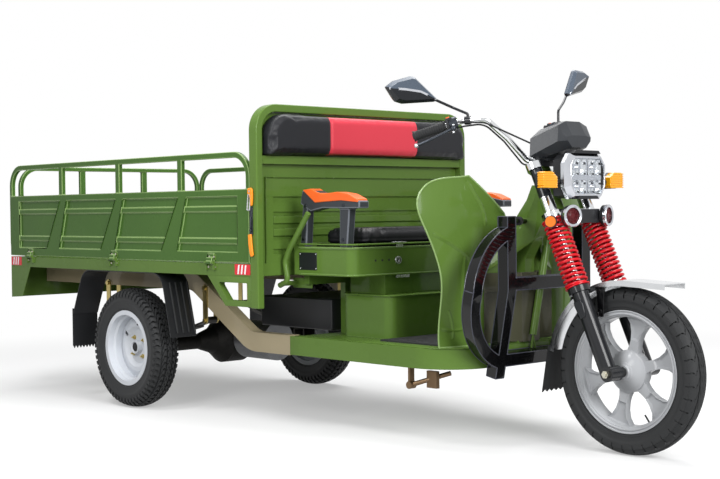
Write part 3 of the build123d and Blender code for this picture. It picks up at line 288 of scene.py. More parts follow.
# The splash panel between the guard's posts sits back in an olive grey, which is painted shade and
# reflection.
olive_painted_shade_enamel = gloss_paint("olive-grey enamel", "4a4a3a", "545444", 0.24)
# Guard and stays: near black, with a coat that draws bright lines along the tubes.
black_enamel = gloss_paint("black enamel", "060607", "0a0a0c", 0.22, 0.5)
# Baked powder on the fork springs, the strongest colour at the front.
red_powder_coat = gloss_paint("red powder coat", "c4161f", "d21f2a", 0.2)
# The pressed rear wheels: even, light and slightly dull.
silver_wheel_paint = gloss_paint("silver wheel paint", "cfd3d9", "dadde2", 0.34)
# The cast front wheel is greyer, so that its pockets read as shade.
cast_wheel_silver = gloss_paint("silver lacquer on a cast wheel", "a6a8ab", "b4b6b9", 0.26)
# The sliders: black with a wet gloss, a little lighter than the guard.
fork_black_paint = gloss_paint("fork black paint", "1a1b1d", "232427", 0.3, 0.5)

# %% [markdown]
# ## Plated and bare metal
# Metal has no colour of its own under the gloss: what the eye reads is how sharp its reflections
# are. So each one gets a fully metallic shader and patches of slightly different polish.


# %% Metals
def metal(name, low, high, rough_low, rough_high, scale=40.0, bump=0.04):
    """Bare or plated metal with patches of different polish."""
    material, shader = new_material(name, low, rough_low, 1.0)
    vary(material, shader, low, high, scale / 4)
    vary(material, shader, rough_low, rough_high, scale, "Roughness")
    grain(material, shader, scale * 20, bump, 0.0003)
    return material


# Mirror bright: fork tubes, handlebar, reflectors and mirror glass.
chrome_plate = metal("chrome plate", "d2d4d6", "e2e3e4", 0.05, 0.12, 20, 0.01)
# Grey-yellow and cloudy, on bolts and small brackets.
zinc_plate = metal("zinc plate", "a8a595", "c2bfb2", 0.28, 0.42, 60, 0.08)
# Plated plastic reflects more softly than plated steel.
satin_chrome = metal("satin chrome on ABS", "b9bcc2", "cfd1d6", 0.16, 0.26, 24, 0.01)
# Turned and tumbled fittings: lock, lever balls and wire loops.
satin_alloy = metal("polished alloy casting", "a9abae", "bfc1c3", 0.24, 0.36, 50, 0.05)
# The hand levers and latch links, dark with a soft sheen.
dark_alloy = metal("dark anodised alloy", "34373c", "42464c", 0.3, 0.42, 50, 0.05)
# Darkened chrome for every few facets of a reflector, a painted dark reflection.
painted_dark_reflection_chrome = metal("chrome on ABS, darkened as a painted reflection", "3c3e42", "55585e", 0.08, 0.16, 24, 0.01)
# The brake pedal's bare steel has browned under its oil.
oiled_steel = metal("oiled mild steel, browned", "5b4a38", "75604a", 0.4, 0.55, 50, 0.2)
# The gold tint of passivated wheel nuts and shackles.
gold_zinc = metal("yellow passivated zinc", "a3925a", "c2b176", 0.3, 0.44, 60, 0.06)
# Trim that was buffed but never plated.
polished_steel = metal("polished steel sheet", "c9cbcd", "dcdddf", 0.14, 0.26, 14, 0.02)
# Leaf springs: dark, greasy and a little rough.
spring_steel = metal("oiled spring steel", "3a3a3a", "4a4844", 0.4, 0.55, 50, 0.15)
# The axle housing keeps the grain of its sand mould.
cast_metal = metal("black cast iron", "232323", "2f2e2c", 0.5, 0.65, 90, 0.4)
# The motor's casting is pale and matt, with a fine grain.
motor_alloy = metal("motor alloy casting", "6d6e70", "7f8082", 0.42, 0.58, 80, 0.35)

# %% [markdown]
# ## Rubber and plastic
# A mould's surface is spark eroded, and the part takes that grain. Rubber has it coarser and with
# hardly any gloss, a lamp housing has next to none, and the grips on the armrests lie between.


# %% Rubber and plastics
def moulded(name, low, high, roughness, scale=700, bump=0.12, distance=0.0004):
    """Injection-moulded plastic or rubber with a spark-eroded grain."""
    material, shader = new_material(name, low, roughness, specular_ior_level=0.3)
    vary(material, shader, low, high, 14.0)
    grain(material, shader, scale, bump, distance)
    return material


# Tyres: dry, and never quite black.
tyre_rubber = moulded("tyre rubber", "202122", "2a2b2c", 0.62, 500, 0.2)
# Grips, seals and mudguard ribs, which hardly shine at all.
soft_rubber = moulded("soft black rubber", "1b1c1d", "242526", 0.7)
# The mat is the same rubber with a dusty tone.
ribbed_mat = moulded("ribbed floor mat", "212223", "2a2b2c", 0.66)
# Housings and brackets, with a wide dull highlight.
black_abs = moulded("black ABS", "17181a", "1f2023", 0.46)
# The instrument pod is smoother and shows the sky along its top.
pod_abs = moulded("satin black ABS", "2b2d30", "35383c", 0.32)
# Armrest bodies are grey enough to tell from the black seat.
arm_abs = moulded("grey-black ABS", "2b2d31", "363a3f", 0.4)
# The armrests' edges are a paler grey, a painted highlight.
arm_edge_painted_highlight = moulded("grey ABS, paler as a painted highlight on edges", "5c6067", "6a6e75", 0.3)
# Mirror shells and the dash window: almost lacquered.
gloss_black_abs = moulded("gloss black ABS", "15171b", "1e2024", 0.16, 300, 0.02)
# The horns' grilles are a red so dark that it shows only in light.
dark_red_abs = moulded("dark red ABS", "4a0f14", "5c141b", 0.3)
# The mirrors' upper facet: a cool grey with a hard gloss.
blue_grey_shell = moulded("blue-grey gloss ABS", "47505c", "525c69", 0.16, 300, 0.02)
# Armrest grips and switch buttons, bright but not shiny.
orange_abs = moulded("orange ABS", "e2591f", "ee6d2c", 0.34)
# The latches' glass-filled nylon is yellower than the grips' orange.
latch_abs = moulded("orange glass-filled nylon", "f08a1c", "f79a2c", 0.36)
# A lacquered plate that carries no print.
plate_print = moulded("blank black data plate", "16181b", "1d1f23", 0.3, 300, 0.02)
# Sheeting full of tiny prisms looks flat and even by day.
red_sheeting = moulded("red reflective sheeting", "cf2530", "da2f3a", 0.3, 900, 0.05)
# The white bars of the same strips.
white_sheeting = moulded("white reflective sheeting", "e9ebec", "f3f4f5", 0.3, 900, 0.05)

# %% [markdown]
# ## Lamp glass and vinyl
# A lens is acrylic that lets part of the light through, with flutes moulded in. The vinyl of the
# seat and the headboard is embossed like hide, for which a cell pattern does better than plain
# noise.


# %% Lenses and vinyl
def cast_lens(name, colour, roughness, see_through=0.35):
    """Clear or tinted acrylic: partly see-through, with a moulded flute pattern."""
    material, shader = new_material(name, colour, roughness, transmission_weight=see_through,
                                    ior=1.49)
    grain(material, shader, 220, 0.25, 0.001, detail=0.0)
    return material


def hide_vinyl(name, colour, roughness, gloss):
    """Embossed vinyl: soft highlights broken up by a fine hide pattern."""
    material, shader = new_material(name, colour, roughness, specular_ior_level=gloss)
    grain(material, shader, 420, 0.35, 0.0006, texture="ShaderNodeTexVoronoi")
    return material


# Deep amber, nearly solid, as a turn lamp looks when unlit.
amber_acrylic = cast_lens("amber acrylic", "feb00c", 0.12, 0.1)
# The side reflectors and pilot lamps, redder than the amber.
orange_lens = cast_lens("orange prism lens", "f27a12", 0.16, 0.1)
# Tail lamps: a dark red that glows at its edges.
red_acrylic = cast_lens("red acrylic", "b0141a", 0.14)
# The reversing lamp's frosted white.
pale_acrylic = cast_lens("frosted acrylic", "e3e6e8", 0.2, 0.3)
# The headlamp's cover bends light so little that the bowls show through it.
clear_acrylic, _ = new_material("clear acrylic", "f6f8fa", 0.02, transmission_weight=1.0, ior=1.2)
# The headboard's outer panels: a satin black.
black_vinyl = hide_vinyl("black vinyl", "1b1c20", 0.42, 0.25)
# The seat's cover is darker and duller than the headboard's.
cushion_vinyl = hide_vinyl("cushion vinyl", "101114", 0.44, 0.2)
# The headboard's middle panel, with a brighter sheen.
red_vinyl = hide_vinyl("red vinyl", "cf3a49", 0.42, 0.35)
print("finishes made:", len(bpy.data.materials))

# %% [markdown]
# ## A finish for each CAD node
# The record names the material slot of each node. Most nodes already have the right shape, so one
# table that goes from slot to finish dresses all of them.

# %% Finish of each slot
finish_of_slot = {
    "rail_paint": cream_enamel,
    "green_paint": green_enamel,
    "black_paint": black_enamel,
    "zinc": zinc_plate,
    "spring_steel": spring_steel,
    "cast_black": cast_metal,
    "motor_aluminium": motor_alloy,
    "tyre": tyre_rubber,
    "wheel_silver": silver_wheel_paint,
    "alloy_silver": silver_wheel_paint,
    "pad_vinyl": black_vinyl,
    "lamp_red": red_acrylic,
    "black_rubber": soft_rubber,
    "mat_rubber": ribbed_mat,
    "black_plastic": black_abs,
    "chrome": chrome_plate,
    "slider_black": fork_black_paint,
    "spring_red": red_powder_coat,
    "bright_steel": polished_steel,
    "lens_clear": clear_acrylic,
    "lens_orange": amber_acrylic,
    "latch_orange": orange_abs,
    "arm_plastic": arm_abs,
    "mirror_shell": gloss_black_abs,
}
for part in frame["record"]["subparts"]:
    piece = nodes[part["node"]]
    piece.data.materials.clear()
    piece.data.materials.append(finish_of_slot[part["material_slot"]])

# %% [markdown]
# ## Shaping tools
# Most of the vehicle's small parts are turned, bent or pressed, so a few short helpers cover
# them: a brick, a round pillar, a slab pushed out of an outline, and a ring spun about the
# wheel's own axis. finish_piece turns the work into a finished piece: it welds doubles, points
# the faces outwards, keeps folded edges sharp, and says which body it rides on.


# %% Shaping tools
WELD = 0.00001
CAD_WELD = 0.00002


def brick(shape, low, high):
    """A box between two corners."""
    low, high = Vector(low), Vector(high)
    place = Matrix.Translation((low + high) / 2) @ Matrix.Diagonal((*(high - low), 1))
    return bmesh.ops.create_cube(shape, size=1, matrix=place)["verts"]


def pillar(shape, start, end, radius, top=None, segments=24):
    """A round bar or cone from one point to another."""
    start, end = Vector(start), Vector(end)
    run = end - start
    place = Matrix.Translation((start + end) / 2) @ run.to_track_quat("Z", "Y").to_matrix().to_4x4()
    return bmesh.ops.create_cone(shape, cap_ends=True, segments=segments, radius1=radius,
                                 radius2=radius if top is None else top, depth=run.length,
                                 matrix=place)["verts"]


def slab(shape, outline, push):
    """A flat outline pushed out into a plate; returns its vertices."""
    face = shape.faces.new([shape.verts.new(p) for p in outline])
    made = bmesh.ops.extrude_face_region(shape, geom=[face])
    far = [item for item in made["geom"] if isinstance(item, bmesh.types.BMVert)]
    bmesh.ops.translate(shape, verts=far, vec=push)
    return list(face.verts) + far


def spun(shape, outline, steps=96):
    """A closed outline of (across, radius) spun about the wheel's cross axis."""
    corners = [shape.verts.new((0, y, r)) for y, r in outline]
    edges = [shape.edges.new(pair) for pair in zip(corners, corners[1:] + corners[:1])]
    bmesh.ops.spin(shape, geom=corners + edges, cent=(0, 0, 0), axis=(0, 1, 0), angle=math.tau,
                   steps=steps, use_merge=True)


def repeat_round(shape, part, count):
    """Copies part of a shape round the cross axis until there are count of it."""
    bmesh.ops.spin(shape, geom=part, cent=(0, 0, 0), axis=(0, 1, 0), steps=count - 1,
                   angle=math.tau * (count - 1) / count, use_duplicate=True)


def all_of(shape):
    """Everything a shape is made of, for operators that want it listed."""
    return shape.verts[:] + shape.edges[:] + shape.faces[:]


def shift(shape, way):
    """Moves a whole shape."""
    bmesh.ops.translate(shape, verts=shape.verts, vec=way)


def place_by(shape, matrix):
    """Moves and turns a whole shape."""
    bmesh.ops.transform(shape, matrix=matrix, verts=shape.verts)


def turn_about_axle(shape, verts, angle):
    """Turns vertices about the cross axis."""
    bmesh.ops.rotate(shape, verts=verts, cent=(0, 0, 0), matrix=Matrix.Rotation(angle, 3, "Y"))


def round_over(shape, edges, radius, segments):
    """Bevels edges into a round of a few steps."""
    bmesh.ops.bevel(shape, geom=edges, offset=radius, segments=segments, affect="EDGES",
                    profile=0.5, material=-1)


def ball_joint(shape, place, radius):
    """A small faceted ball that closes the corner between two round bars."""
    bmesh.ops.create_icosphere(shape, subdivisions=1, radius=radius,
                               matrix=Matrix.Translation(place))


def join_in(shape, part):
    """Adds one shape to another and discards it."""
    carrier = bpy.data.meshes.new("carrier")
    part.to_mesh(carrier)
    part.free()
    shape.from_mesh(carrier)
    bpy.data.meshes.remove(carrier)


def as_piece(name, shape, coats=()):
    """Puts a shape into the scene as an object of its own, with its finishes."""
    mesh = bpy.data.meshes.new(name)
    shape.to_mesh(mesh)
    shape.free()
    for coat in coats:
        mesh.materials.append(coat)
    piece = bpy.data.objects.new(name, mesh)
    scene.collection.objects.link(piece)
    return piece


def smooth_but(mesh, sharp):
    """Shades a mesh smooth, except across edges that turn by more than an angle."""
    mesh.shade_smooth()
    mesh.set_sharp_from_angle(angle=math.radians(sharp))


def finish_piece(name, shape, coats, body, slot, stands_for=(), sharp=35, bevel=0.0):
    """Welds, smooths and names a shape, and hangs it on its body."""
    bmesh.ops.remove_doubles(shape, verts=shape.verts, dist=WELD)
    bmesh.ops.recalc_face_normals(shape, faces=shape.faces)
    piece = as_piece(name, shape, coats)
    smooth_but(piece.data, sharp)
    if bevel:
        edge = piece.modifiers.new("rounded edges", "BEVEL")
        edge.width = bevel
        edge.segments = 2
        edge.limit_method = "ANGLE"
        edge.harden_normals = False
    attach(piece, body)
    if stands_for:
        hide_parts(*stands_for)
    print(name, len(piece.data.polygons), "faces")
    return piece


def corners_of(node):
    """A CAD node's lowest and highest corner."""
    low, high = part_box(node)
    return Vector(low), Vector(high)


def middle_of(node):
    """The middle of a CAD node's box, which for a wheel is its axle."""
    low, high = corners_of(node)
    return (low + high) / 2


def mirrored(shape):
    """Adds the shape's mirror image across the vehicle's middle plane."""
    bmesh.ops.mirror(shape, geom=all_of(shape), axis="Y", merge_dist=-1)


# %% [markdown]
# ## Tyres
# A tyre is a rubber carcass with a tread moulded into it. The carcass is half an outline, from
# the middle of the tread out over the shoulder and down to the bead, mirrored and spun about the
# axle. The tread stands on it as rows of bent blocks: one block is a short piece of the same
# outline, spun through a few degrees, skewed, and copied round. That leaves real grooves, which a
# bump map can't show at the edge of the wheel.

# %% Tyre carcass
SHOULDER = 0.009
CROWN_RISE = 0.014
SHOULDER_FALL = 2.2
FRONT = {"outer": 0.295, "width": 0.096, "bead": 0.203, "rim": 0.0367, "groove": 0.0055}
REAR = {"outer": 0.267, "width": 0.127, "bead": 0.152, "rim": 0.0477, "groove": 0.0085}


def crown(tyre, across):
    """Radius of the tread's top at a distance from the middle."""
    edge = tyre["width"] / 2 - SHOULDER
    bend = (edge ** 2 + CROWN_RISE ** 2) / (2 * CROWN_RISE)
    inside = min(abs(across), edge)
    radius = tyre["outer"] - bend + math.sqrt(bend ** 2 - inside ** 2)
    return radius - max(abs(across) - edge, 0) * SHOULDER_FALL


def carcass(shape, tyre):
    """The smooth tyre under the tread: half an outline, mirrored and spun."""
    half = tyre["width"] / 2
    edge = half - SHOULDER
    tread = [(edge * k / 5, crown(tyre, edge * k / 5) - tyre["groove"]) for k in range(6)]
    middle = (tyre["bead"] + tyre["outer"]) / 2 + 0.004
    wall = [(half - 0.0065, tyre["outer"] - 0.027), (half - 0.0035, tyre["outer"] - 0.038),
            (half - 0.0010, middle + 0.004), (half - 0.0008, middle - 0.004),
            (half - 0.0026, middle - 0.0065), (half - 0.004, middle - 0.014),
            (tyre["rim"] + 0.007, tyre["bead"] + 0.032),
            (tyre["rim"] + 0.0065, tyre["bead"] + 0.025),
            (tyre["rim"] + 0.0035, tyre["bead"] + 0.023),
            (tyre["rim"] + 0.003, tyre["bead"] + 0.017), (tyre["rim"], tyre["bead"] + 0.016),
            (tyre["rim"], tyre["bead"] + 0.0005)]
    right = tread + wall
    left = [(-y, r) for y, r in right[:0:-1]]
    spun(shape, right + left, 120)


def tread_row(tyre, inner, outer, count, fill, skew, turn):
    """A row of blocks between two distances across; skew slants them, turn shifts them round.
    A row that reaches the shoulder also runs down the side wall."""
    row = bmesh.new()
    half = tyre["width"] / 2
    side = -1 if inner + outer < 0 else 1
    inner, outer = (inner, outer) if side > 0 else (-outer, -inner)
    across = [inner + (outer - inner) * k / 4 for k in range(5)]
    top = [(y, crown(tyre, y)) for y in across]
    foot = [(y, r - tyre["groove"] - 0.004) for y, r in top[::-1]]
    if outer > half - 0.006:
        top += [(half - 0.0002, tyre["outer"] - 0.025), (half, tyre["outer"] - 0.034),
                (half - 0.0006, tyre["outer"] - 0.041)]
        foot = [(half - 0.006, tyre["outer"] - 0.041),
                (half - 0.009, tyre["outer"] - 0.028)] + foot[1:]
    face = row.faces.new([row.verts.new((0, y * side, r)) for y, r in top + foot])
    bmesh.ops.spin(row, geom=[face], cent=(0, 0, 0), axis=(0, 1, 0), steps=2,
                   angle=math.tau / count * fill)
    for corner in row.verts:
        reach = min(abs(corner.co.y), half - 0.004) / tyre["width"]
        bend = turn + skew * reach ** 1.3 + 0.10 * skew * math.sin(reach * 25)
        corner.co = Matrix.Rotation(bend, 3, "Y") @ corner.co
    repeat_round(row, all_of(row), count)
    return row


# %% Tyres
def make_tyre(name, node, tyre, rows, body):
    """A carcass with its rows of tread blocks, set on the CAD tyre's axle."""
    shape = bmesh.new()
    carcass(shape, tyre)
    for row in rows:
        join_in(shape, tread_row(tyre, *row))
    shift(shape, middle_of(node))
    return finish_piece(name, shape, [tyre_rubber], body, "tyre", [node], 40)


FRONT_BLOCKS, REAR_BLOCKS = 38, 58
pitch = math.tau / FRONT_BLOCKS
front_rows = [(-0.0155, 0.0155, FRONT_BLOCKS, 0.88, 1.0, 0.0)]
front_rows += [(low, high, FRONT_BLOCKS, 0.87, 0.44, pitch * 0.5)
               for low, high in ((0.019, 0.0435), (-0.0435, -0.019))]
make_tyre("front_tyre_with_tread", "front_tyre", FRONT, front_rows, "front_wheel")
pitch = math.tau / REAR_BLOCKS
rear_rows = [(-0.0105, 0.0105, REAR_BLOCKS, 0.72, 0.6, 0.0)]
for inner, outer, fill, skew, share in ((0.0165, 0.0345, 0.60, 0.5, 0.4),
                                        (0.0405, 0.0590, 0.52, 0.35, 0.1)):
    rear_rows += [(low, high, REAR_BLOCKS, fill, skew, pitch * share)
                  for low, high in ((inner, outer), (-outer, -inner))]
for side in ("right", "left"):
    make_tyre(f"rear_tyre_with_tread_{side}", f"rear_tyre_{side}", REAR, rear_rows,
              f"rear_wheel_{side}")

# %% [markdown]
# ## Front wheel
# The front wheel is one aluminium casting: a barrel with stepped flanges, a domed hub, and six
# spokes that narrow at the waist and flare into the barrel, with a pocket in each flare. A spoke
# is an outline pushed out to its thickness, its outer faces inset and sunk, then copied round six
# times.

# %% Front wheel
axle = middle_of("front_rim")
shape = bmesh.new()
spun(shape, [
    (-0.041, 0.2165), (-0.041, 0.2120), (-0.0372, 0.2108), (-0.0372, 0.2066), (-0.0405, 0.2052),
    (-0.0400, 0.2005), (-0.0350, 0.1988), (-0.0350, 0.1958), (-0.0300, 0.1942), (-0.026, 0.1915),
    (0.026, 0.1915), (0.0300, 0.1942), (0.0350, 0.1958), (0.0350, 0.1988), (0.0400, 0.2005),
    (0.0405, 0.2052), (0.0372, 0.2066), (0.0372, 0.2108), (0.041, 0.2120), (0.041, 0.2165),
    (0.0375, 0.2165), (0.0345, 0.2035), (-0.0345, 0.2035), (-0.0375, 0.2165)], 120)
hub_half = [(0.048, 0.0085), (0.048, 0.024), (0.0445, 0.026), (0.042, 0.033), (0.040, 0.0345),
            (0.034, 0.052), (0.025, 0.064), (0.021, 0.069), (0.019, 0.0745), (0.012, 0.0755)]
spun(shape, hub_half + [(-y, r) for y, r in hub_half[::-1]], 72)

spoke = bmesh.new()
near = [(-0.024, 0.064), (-0.0175, 0.092), (-0.0165, 0.112)]
flare = [(-0.0165, 0.112), (-0.021, 0.14), (-0.032, 0.166), (-0.052, 0.186)]
rise = [(x, r) for x, r in near] + [(-x, r) for x, r in near[::-1]]
spread = flare + [(0.018, 0.1945), (-0.018, 0.1945)][::-1] + [(-x, r) for x, r in flare[::-1]]
for outline in (rise, spread):
    slab(spoke, [(x, -0.015, r) for x, r in outline], (0, 0.03, 0))
bmesh.ops.remove_doubles(spoke, verts=spoke.verts, dist=WELD)
flat = [f for f in spoke.faces if abs(f.normal.y) > 0.99 and f.calc_center_median().z > 0.13]
bmesh.ops.inset_individual(spoke, faces=flat, thickness=0.0085, depth=0)
for pocket in flat:
    inward = -0.0095 if pocket.calc_center_median().y > 0 else 0.008
    bmesh.ops.translate(spoke, verts=pocket.verts, vec=(0, inward, 0))
repeat_round(spoke, all_of(spoke), 6)
turn_about_axle(spoke, spoke.verts, math.radians(14))
join_in(shape, spoke)
shift(shape, axle)
finish_piece("front_wheel_casting", shape, [cast_wheel_silver], "front_wheel", "alloy_silver",
             ["front_rim"], 30, 0.0009)

# %% [markdown]
# ## Wheel fittings
# Each hub is closed against dust: by rubber seals and spacers on the front axle, and by a cap
# with a grip for a spanner at the rear. The rear rims hang on four gold nuts on studs with
# washers, and every wheel has its valve, leaning as it does on a rim for tubes.

# %% Valves, bearing caps and wheel nuts
NUT_CIRCLE = 0.052
shape = bmesh.new()
for y in (-0.0485, 0.0485):
    pillar(shape, (0, y * 0.9, 0), (0, y, 0), 0.0185, 0.0165, 32)
stem = pillar(shape, (0, -0.02, -0.192), (0, -0.026, -0.163), 0.0035, 0.003, 12)
turn_about_axle(shape, stem, math.radians(-28))
shift(shape, axle)
for side in (-1, 1):
    pillar(shape, axle + Vector((0, side * 0.0492, 0)), axle + Vector((0, side * 0.0772, 0)),
           0.0182, 0.0182, 32)
finish_piece("front_hub_seals", shape, [soft_rubber], "front_wheel", "alloy_silver")

for side, sign in (("right", -1), ("left", 1)):
    centre = middle_of(f"rear_tyre_{side}")
    shape = bmesh.new()
    for k in range(4):
        turn = math.radians(38 + 90 * k)
        spot = Vector((math.cos(turn), 0, math.sin(turn))) * NUT_CIRCLE
        face = Vector((0, sign * -0.0175, 0))
        for height, foot, top, sides in ((0.007, 0.0085, 0.0085, 6), (0.016, 0.0045, 0.004, 12),
                                         (0.002, 0.0105, 0.0098, 20)):
            end = spot + face + Vector((0, sign * height, 0))
            pillar(shape, spot + face, end, foot, top, sides)
    shift(shape, centre)
    finish_piece(f"wheel_nuts_{side}", shape, [gold_zinc], f"rear_wheel_{side}", "wheel_silver",
                 bevel=0.0006)
    shape = bmesh.new()
    pillar(shape, (0, sign * -0.018, 0), (0, sign * 0.004, 0), 0.0195, 0.019, 32)
    pillar(shape, (0, sign * 0.003, 0), (0, sign * 0.0055, 0), 0.013, 0.011, 6)
    stem = pillar(shape, (0, sign * 0.008, 0.142), (0, sign * 0.02, 0.112), 0.0045, 0.004, 12)
    turn_about_axle(shape, stem, math.radians(24))
    shift(shape, centre)
    finish_piece(f"dust_cap_and_valve_{side}", shape, [soft_rubber], f"rear_wheel_{side}",
                 "wheel_silver")

# %% [markdown]
# ## Soft edges
# A bent or welded tube never has a knife edge, and it is the rounded edge that catches the light.
# The CAD shapes stay as they are, so each of these pieces is a copy: its loose triangles are
# welded, flat neighbours are joined into one face, and a small bevel rounds whatever is still
# sharp. On some pieces the bevel's strip gets a paler coat of its own, a painted highlight along
# the edge. The left drop side is made from the right one's mirror image, so that both have the
# same rounds.


# %% Soften the edges of pressed and welded pieces
FLAT_WITHIN, BEVEL_ABOVE, SOFT_SHARP = 0.8, 38, 40


def softened(node, width, highlight_coat=None, twin=None):
    """A copy of a CAD node (or its twin's mirror image) whose rounded edges can take a painted
    highlight coat.
    """
    source = nodes[node]
    shape = bmesh.new()
    shape.from_mesh(nodes[twin or node].data)
    if twin:
        bmesh.ops.scale(shape, vec=(1, -1, 1), verts=shape.verts)
        bmesh.ops.reverse_faces(shape, faces=shape.faces)
    bmesh.ops.remove_doubles(shape, verts=shape.verts, dist=CAD_WELD)
    bmesh.ops.dissolve_limit(shape, angle_limit=math.radians(FLAT_WITHIN), verts=shape.verts,
                             edges=shape.edges)
    coats = [source.data.materials[0]] + ([highlight_coat] if highlight_coat else [])
    piece = as_piece("soft_" + node, shape, coats)
    smooth_but(piece.data, SOFT_SHARP)
    edge = piece.modifiers.new("rounded edges", "BEVEL")
    edge.width = width
    edge.segments = 2
    edge.limit_method = "ANGLE"
    edge.angle_limit = math.radians(BEVEL_ABOVE)
    # The bevel's strip takes the paler coat, a painted highlight along the edge.
    edge.use_clamp_overlap = highlight_coat is None
    edge.material = 1 if highlight_coat else -1
    level = piece.modifiers.new("even shading", "WEIGHTED_NORMAL")
    level.keep_sharp = False
    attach(piece, bodies[node])
    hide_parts(node)
    print("soft", node, len(piece.data.polygons), "faces")
    return piece


bodies = {node: body for body, held in frame["record"]["behaviour"]["bodies"].items()
          for node in held}
# The drop sides take the darker green, a painted shade.
for node in ("side_board_left", "side_board_right", "tailgate"):
    nodes[node].data.materials[0] = board_enamel_painted_shade
for node, width, highlight_coat in (
        ("bumper_guard", 0.004, None), ("headboard_frame", 0.005, None),
        ("armrests", 0.005, arm_edge_painted_highlight), ("side_board_right", 0.0032, green_edge_painted_highlight),
        ("tailgate", 0.0032, green_edge_painted_highlight), ("bed_frame", 0.003, None),
        ("seat_box", 0.002, green_edge_painted_highlight), ("battery_box", 0.002, green_edge_painted_highlight),
        ("cab_frame", 0.004, None), ("battery_case", 0.006, None)):
    softened(node, width, highlight_coat)
softened("side_board_left", 0.0032, green_edge_painted_highlight, twin="side_board_right")

# %% [markdown]
# ## Headlamp
# The lamp is a chromed plastic bezel with eight sides, four reflector bowls with their bulb
# shields, and a clear cover flush with the rim. The bezel is one face pushed forward twice,
# narrower at the second push, then inset and sunk. A bowl is a dished grid of flat facets, some
# chromed and some darkened as a painted dark reflection, because it's the facets that make a
# lamp sparkle.


# %% Headlamp bezel
def grow(shape, face, push, factor=1.0):
    """Extrudes a face, moves and scales its far end, and returns that end."""
    made = bmesh.ops.extrude_face_region(shape, geom=[face])
    far = next(item for item in made["geom"] if isinstance(item, bmesh.types.BMFace))
    middle = far.calc_center_median()
    for corner in far.verts:
        corner.co = middle + (corner.co - middle) * factor + Vector(push)
    return far


def sink(shape, face, steps):
    """Insets a face again and again; each step is (inset, depth)."""
    for inset, depth in steps:
        bmesh.ops.inset_region(shape, faces=[face], thickness=inset, depth=depth,
                               use_even_offset=True)


RAKE = math.radians(24)
LENS_HALF = 0.081
fork = Matrix.Translation(axle) @ Matrix.Rotation(-RAKE, 4, "Y")
lens_high = corners_of("headlight_lens")[1]
lamp = Vector((lens_high.x, 0, lens_high.z - LENS_HALF))
octagon = [(-0.115, -0.041), (-0.088, -0.083), (0.088, -0.083), (0.115, -0.041), (0.115, 0.045),
           (0.087, 0.081), (-0.087, 0.081), (-0.115, 0.045)]
shape = bmesh.new()
back = shape.faces.new([shape.verts.new(lamp + Vector((-0.036, y, z))) for y, z in octagon])
front = grow(shape, back, (0.016, 0, 0))
front = grow(shape, front, (0.020, 0, 0), 0.86)
sink(shape, front, [(0.0065, 0.0), (0.001, -0.026)])
for z in (-0.015, 0.0605):
    brick(shape, lamp + Vector((-0.03, -0.083, z)),
          lamp + Vector((-0.008, 0.083, z + 0.016 - z * 0.16)))
brick(shape, lamp + Vector((-0.03, -0.005, -0.062)), lamp + Vector((-0.010, 0.005, 0.064)))
finish_piece("headlamp_bezel", shape, [satin_chrome], "steering", "lens_clear", ["headlight_lens"],
             25, 0.0012)

# %% Reflectors, cover and chin
BOWL_EDGE, BOWL_DISH, FACET_STEP = 0.0095, 0.013, 0.0011


def bowl(shape, low, high, columns=9, rows=6):
    """A dished reflector of flat facets, every few of them darkened as a painted dark reflection.
    """
    corners = []
    for j in range(rows + 1):
        for i in range(columns + 1):
            u, v = 2 * i / columns - 1, 2 * j / rows - 1
            reach = max(u * u, v * v)
            ripple = FACET_STEP * ((i * 7 + j * 5) % 5 - 2) * (reach < 1)
            depth = BOWL_EDGE + BOWL_DISH * (1 - reach) + ripple
            y = low[0] + (high[0] - low[0]) * (u + 1) / 2
            z = low[1] + (high[1] - low[1]) * (v + 1) / 2
            corners.append(shape.verts.new(lamp + Vector((-depth, y, z))))
    for j in range(rows):
        for i in range(columns):
            near = i + j * (columns + 1)
            far = near + columns + 1
            facet = shape.faces.new([corners[k] for k in (near, near + 1, far + 1, far)])
            # Every few facets take the darkened chrome, a painted dark reflection.
            facet.material_index = 1 if (i * 3 + j * 5 + i * j) % 4 == 0 else 0


shape = bmesh.new()
for y0, y1 in ((-0.083, -0.005), (0.005, 0.083)):
    for z0, z1 in ((-0.061, -0.0155), (0.0015, 0.0595)):
        bowl(shape, (y0, z0), (y1, z1))
bmesh.ops.triangulate(shape, faces=shape.faces[:])
finish_piece("headlamp_reflectors", shape, [chrome_plate, painted_dark_reflection_chrome], "steering", "chrome",
             sharp=3)
bulbs = bmesh.new()
for y in (-0.044, 0.044):
    for z in (-0.038, 0.0305):
        pillar(bulbs, lamp + Vector((-0.03, y, z)), lamp + Vector((-0.013, y, z)), 0.008, 0.004, 16)
finish_piece("headlamp_bulb_shields", bulbs, [chrome_plate], "steering", "chrome", bevel=0.0008)

shape = bmesh.new()
slab(shape, [lamp + Vector((-0.0045, y * 0.84, z * 0.83)) for y, z in octagon], (0.003, 0, 0))
finish_piece("headlamp_cover", shape, [clear_acrylic], "steering", "lens_clear")
shape = bmesh.new()
chin = [(-0.062, -0.083), (0.062, -0.083), (0.052, -0.0725), (-0.052, -0.0725)]
slab(shape, [lamp + Vector((-0.012, y, z)) for y, z in chin], (0.0135, 0, 0))
brow = [(-0.078, 0.0805), (0.078, 0.0805), (0.066, 0.092), (-0.066, 0.092)]
slab(shape, [lamp + Vector((-0.05, y, z)) for y, z in brow], (0.047, 0, 0))
finish_piece("headlamp_chin_and_brow", shape, [black_abs], "steering", "black_plastic",
             bevel=0.0015)

# %% [markdown]
# ## Turn lamps
# A turn lamp is a black base with an amber lens. The lens has horizontal fins, which scatter the
# bulb's light sideways, so it is a stack of thin and thick layers of the same outline.

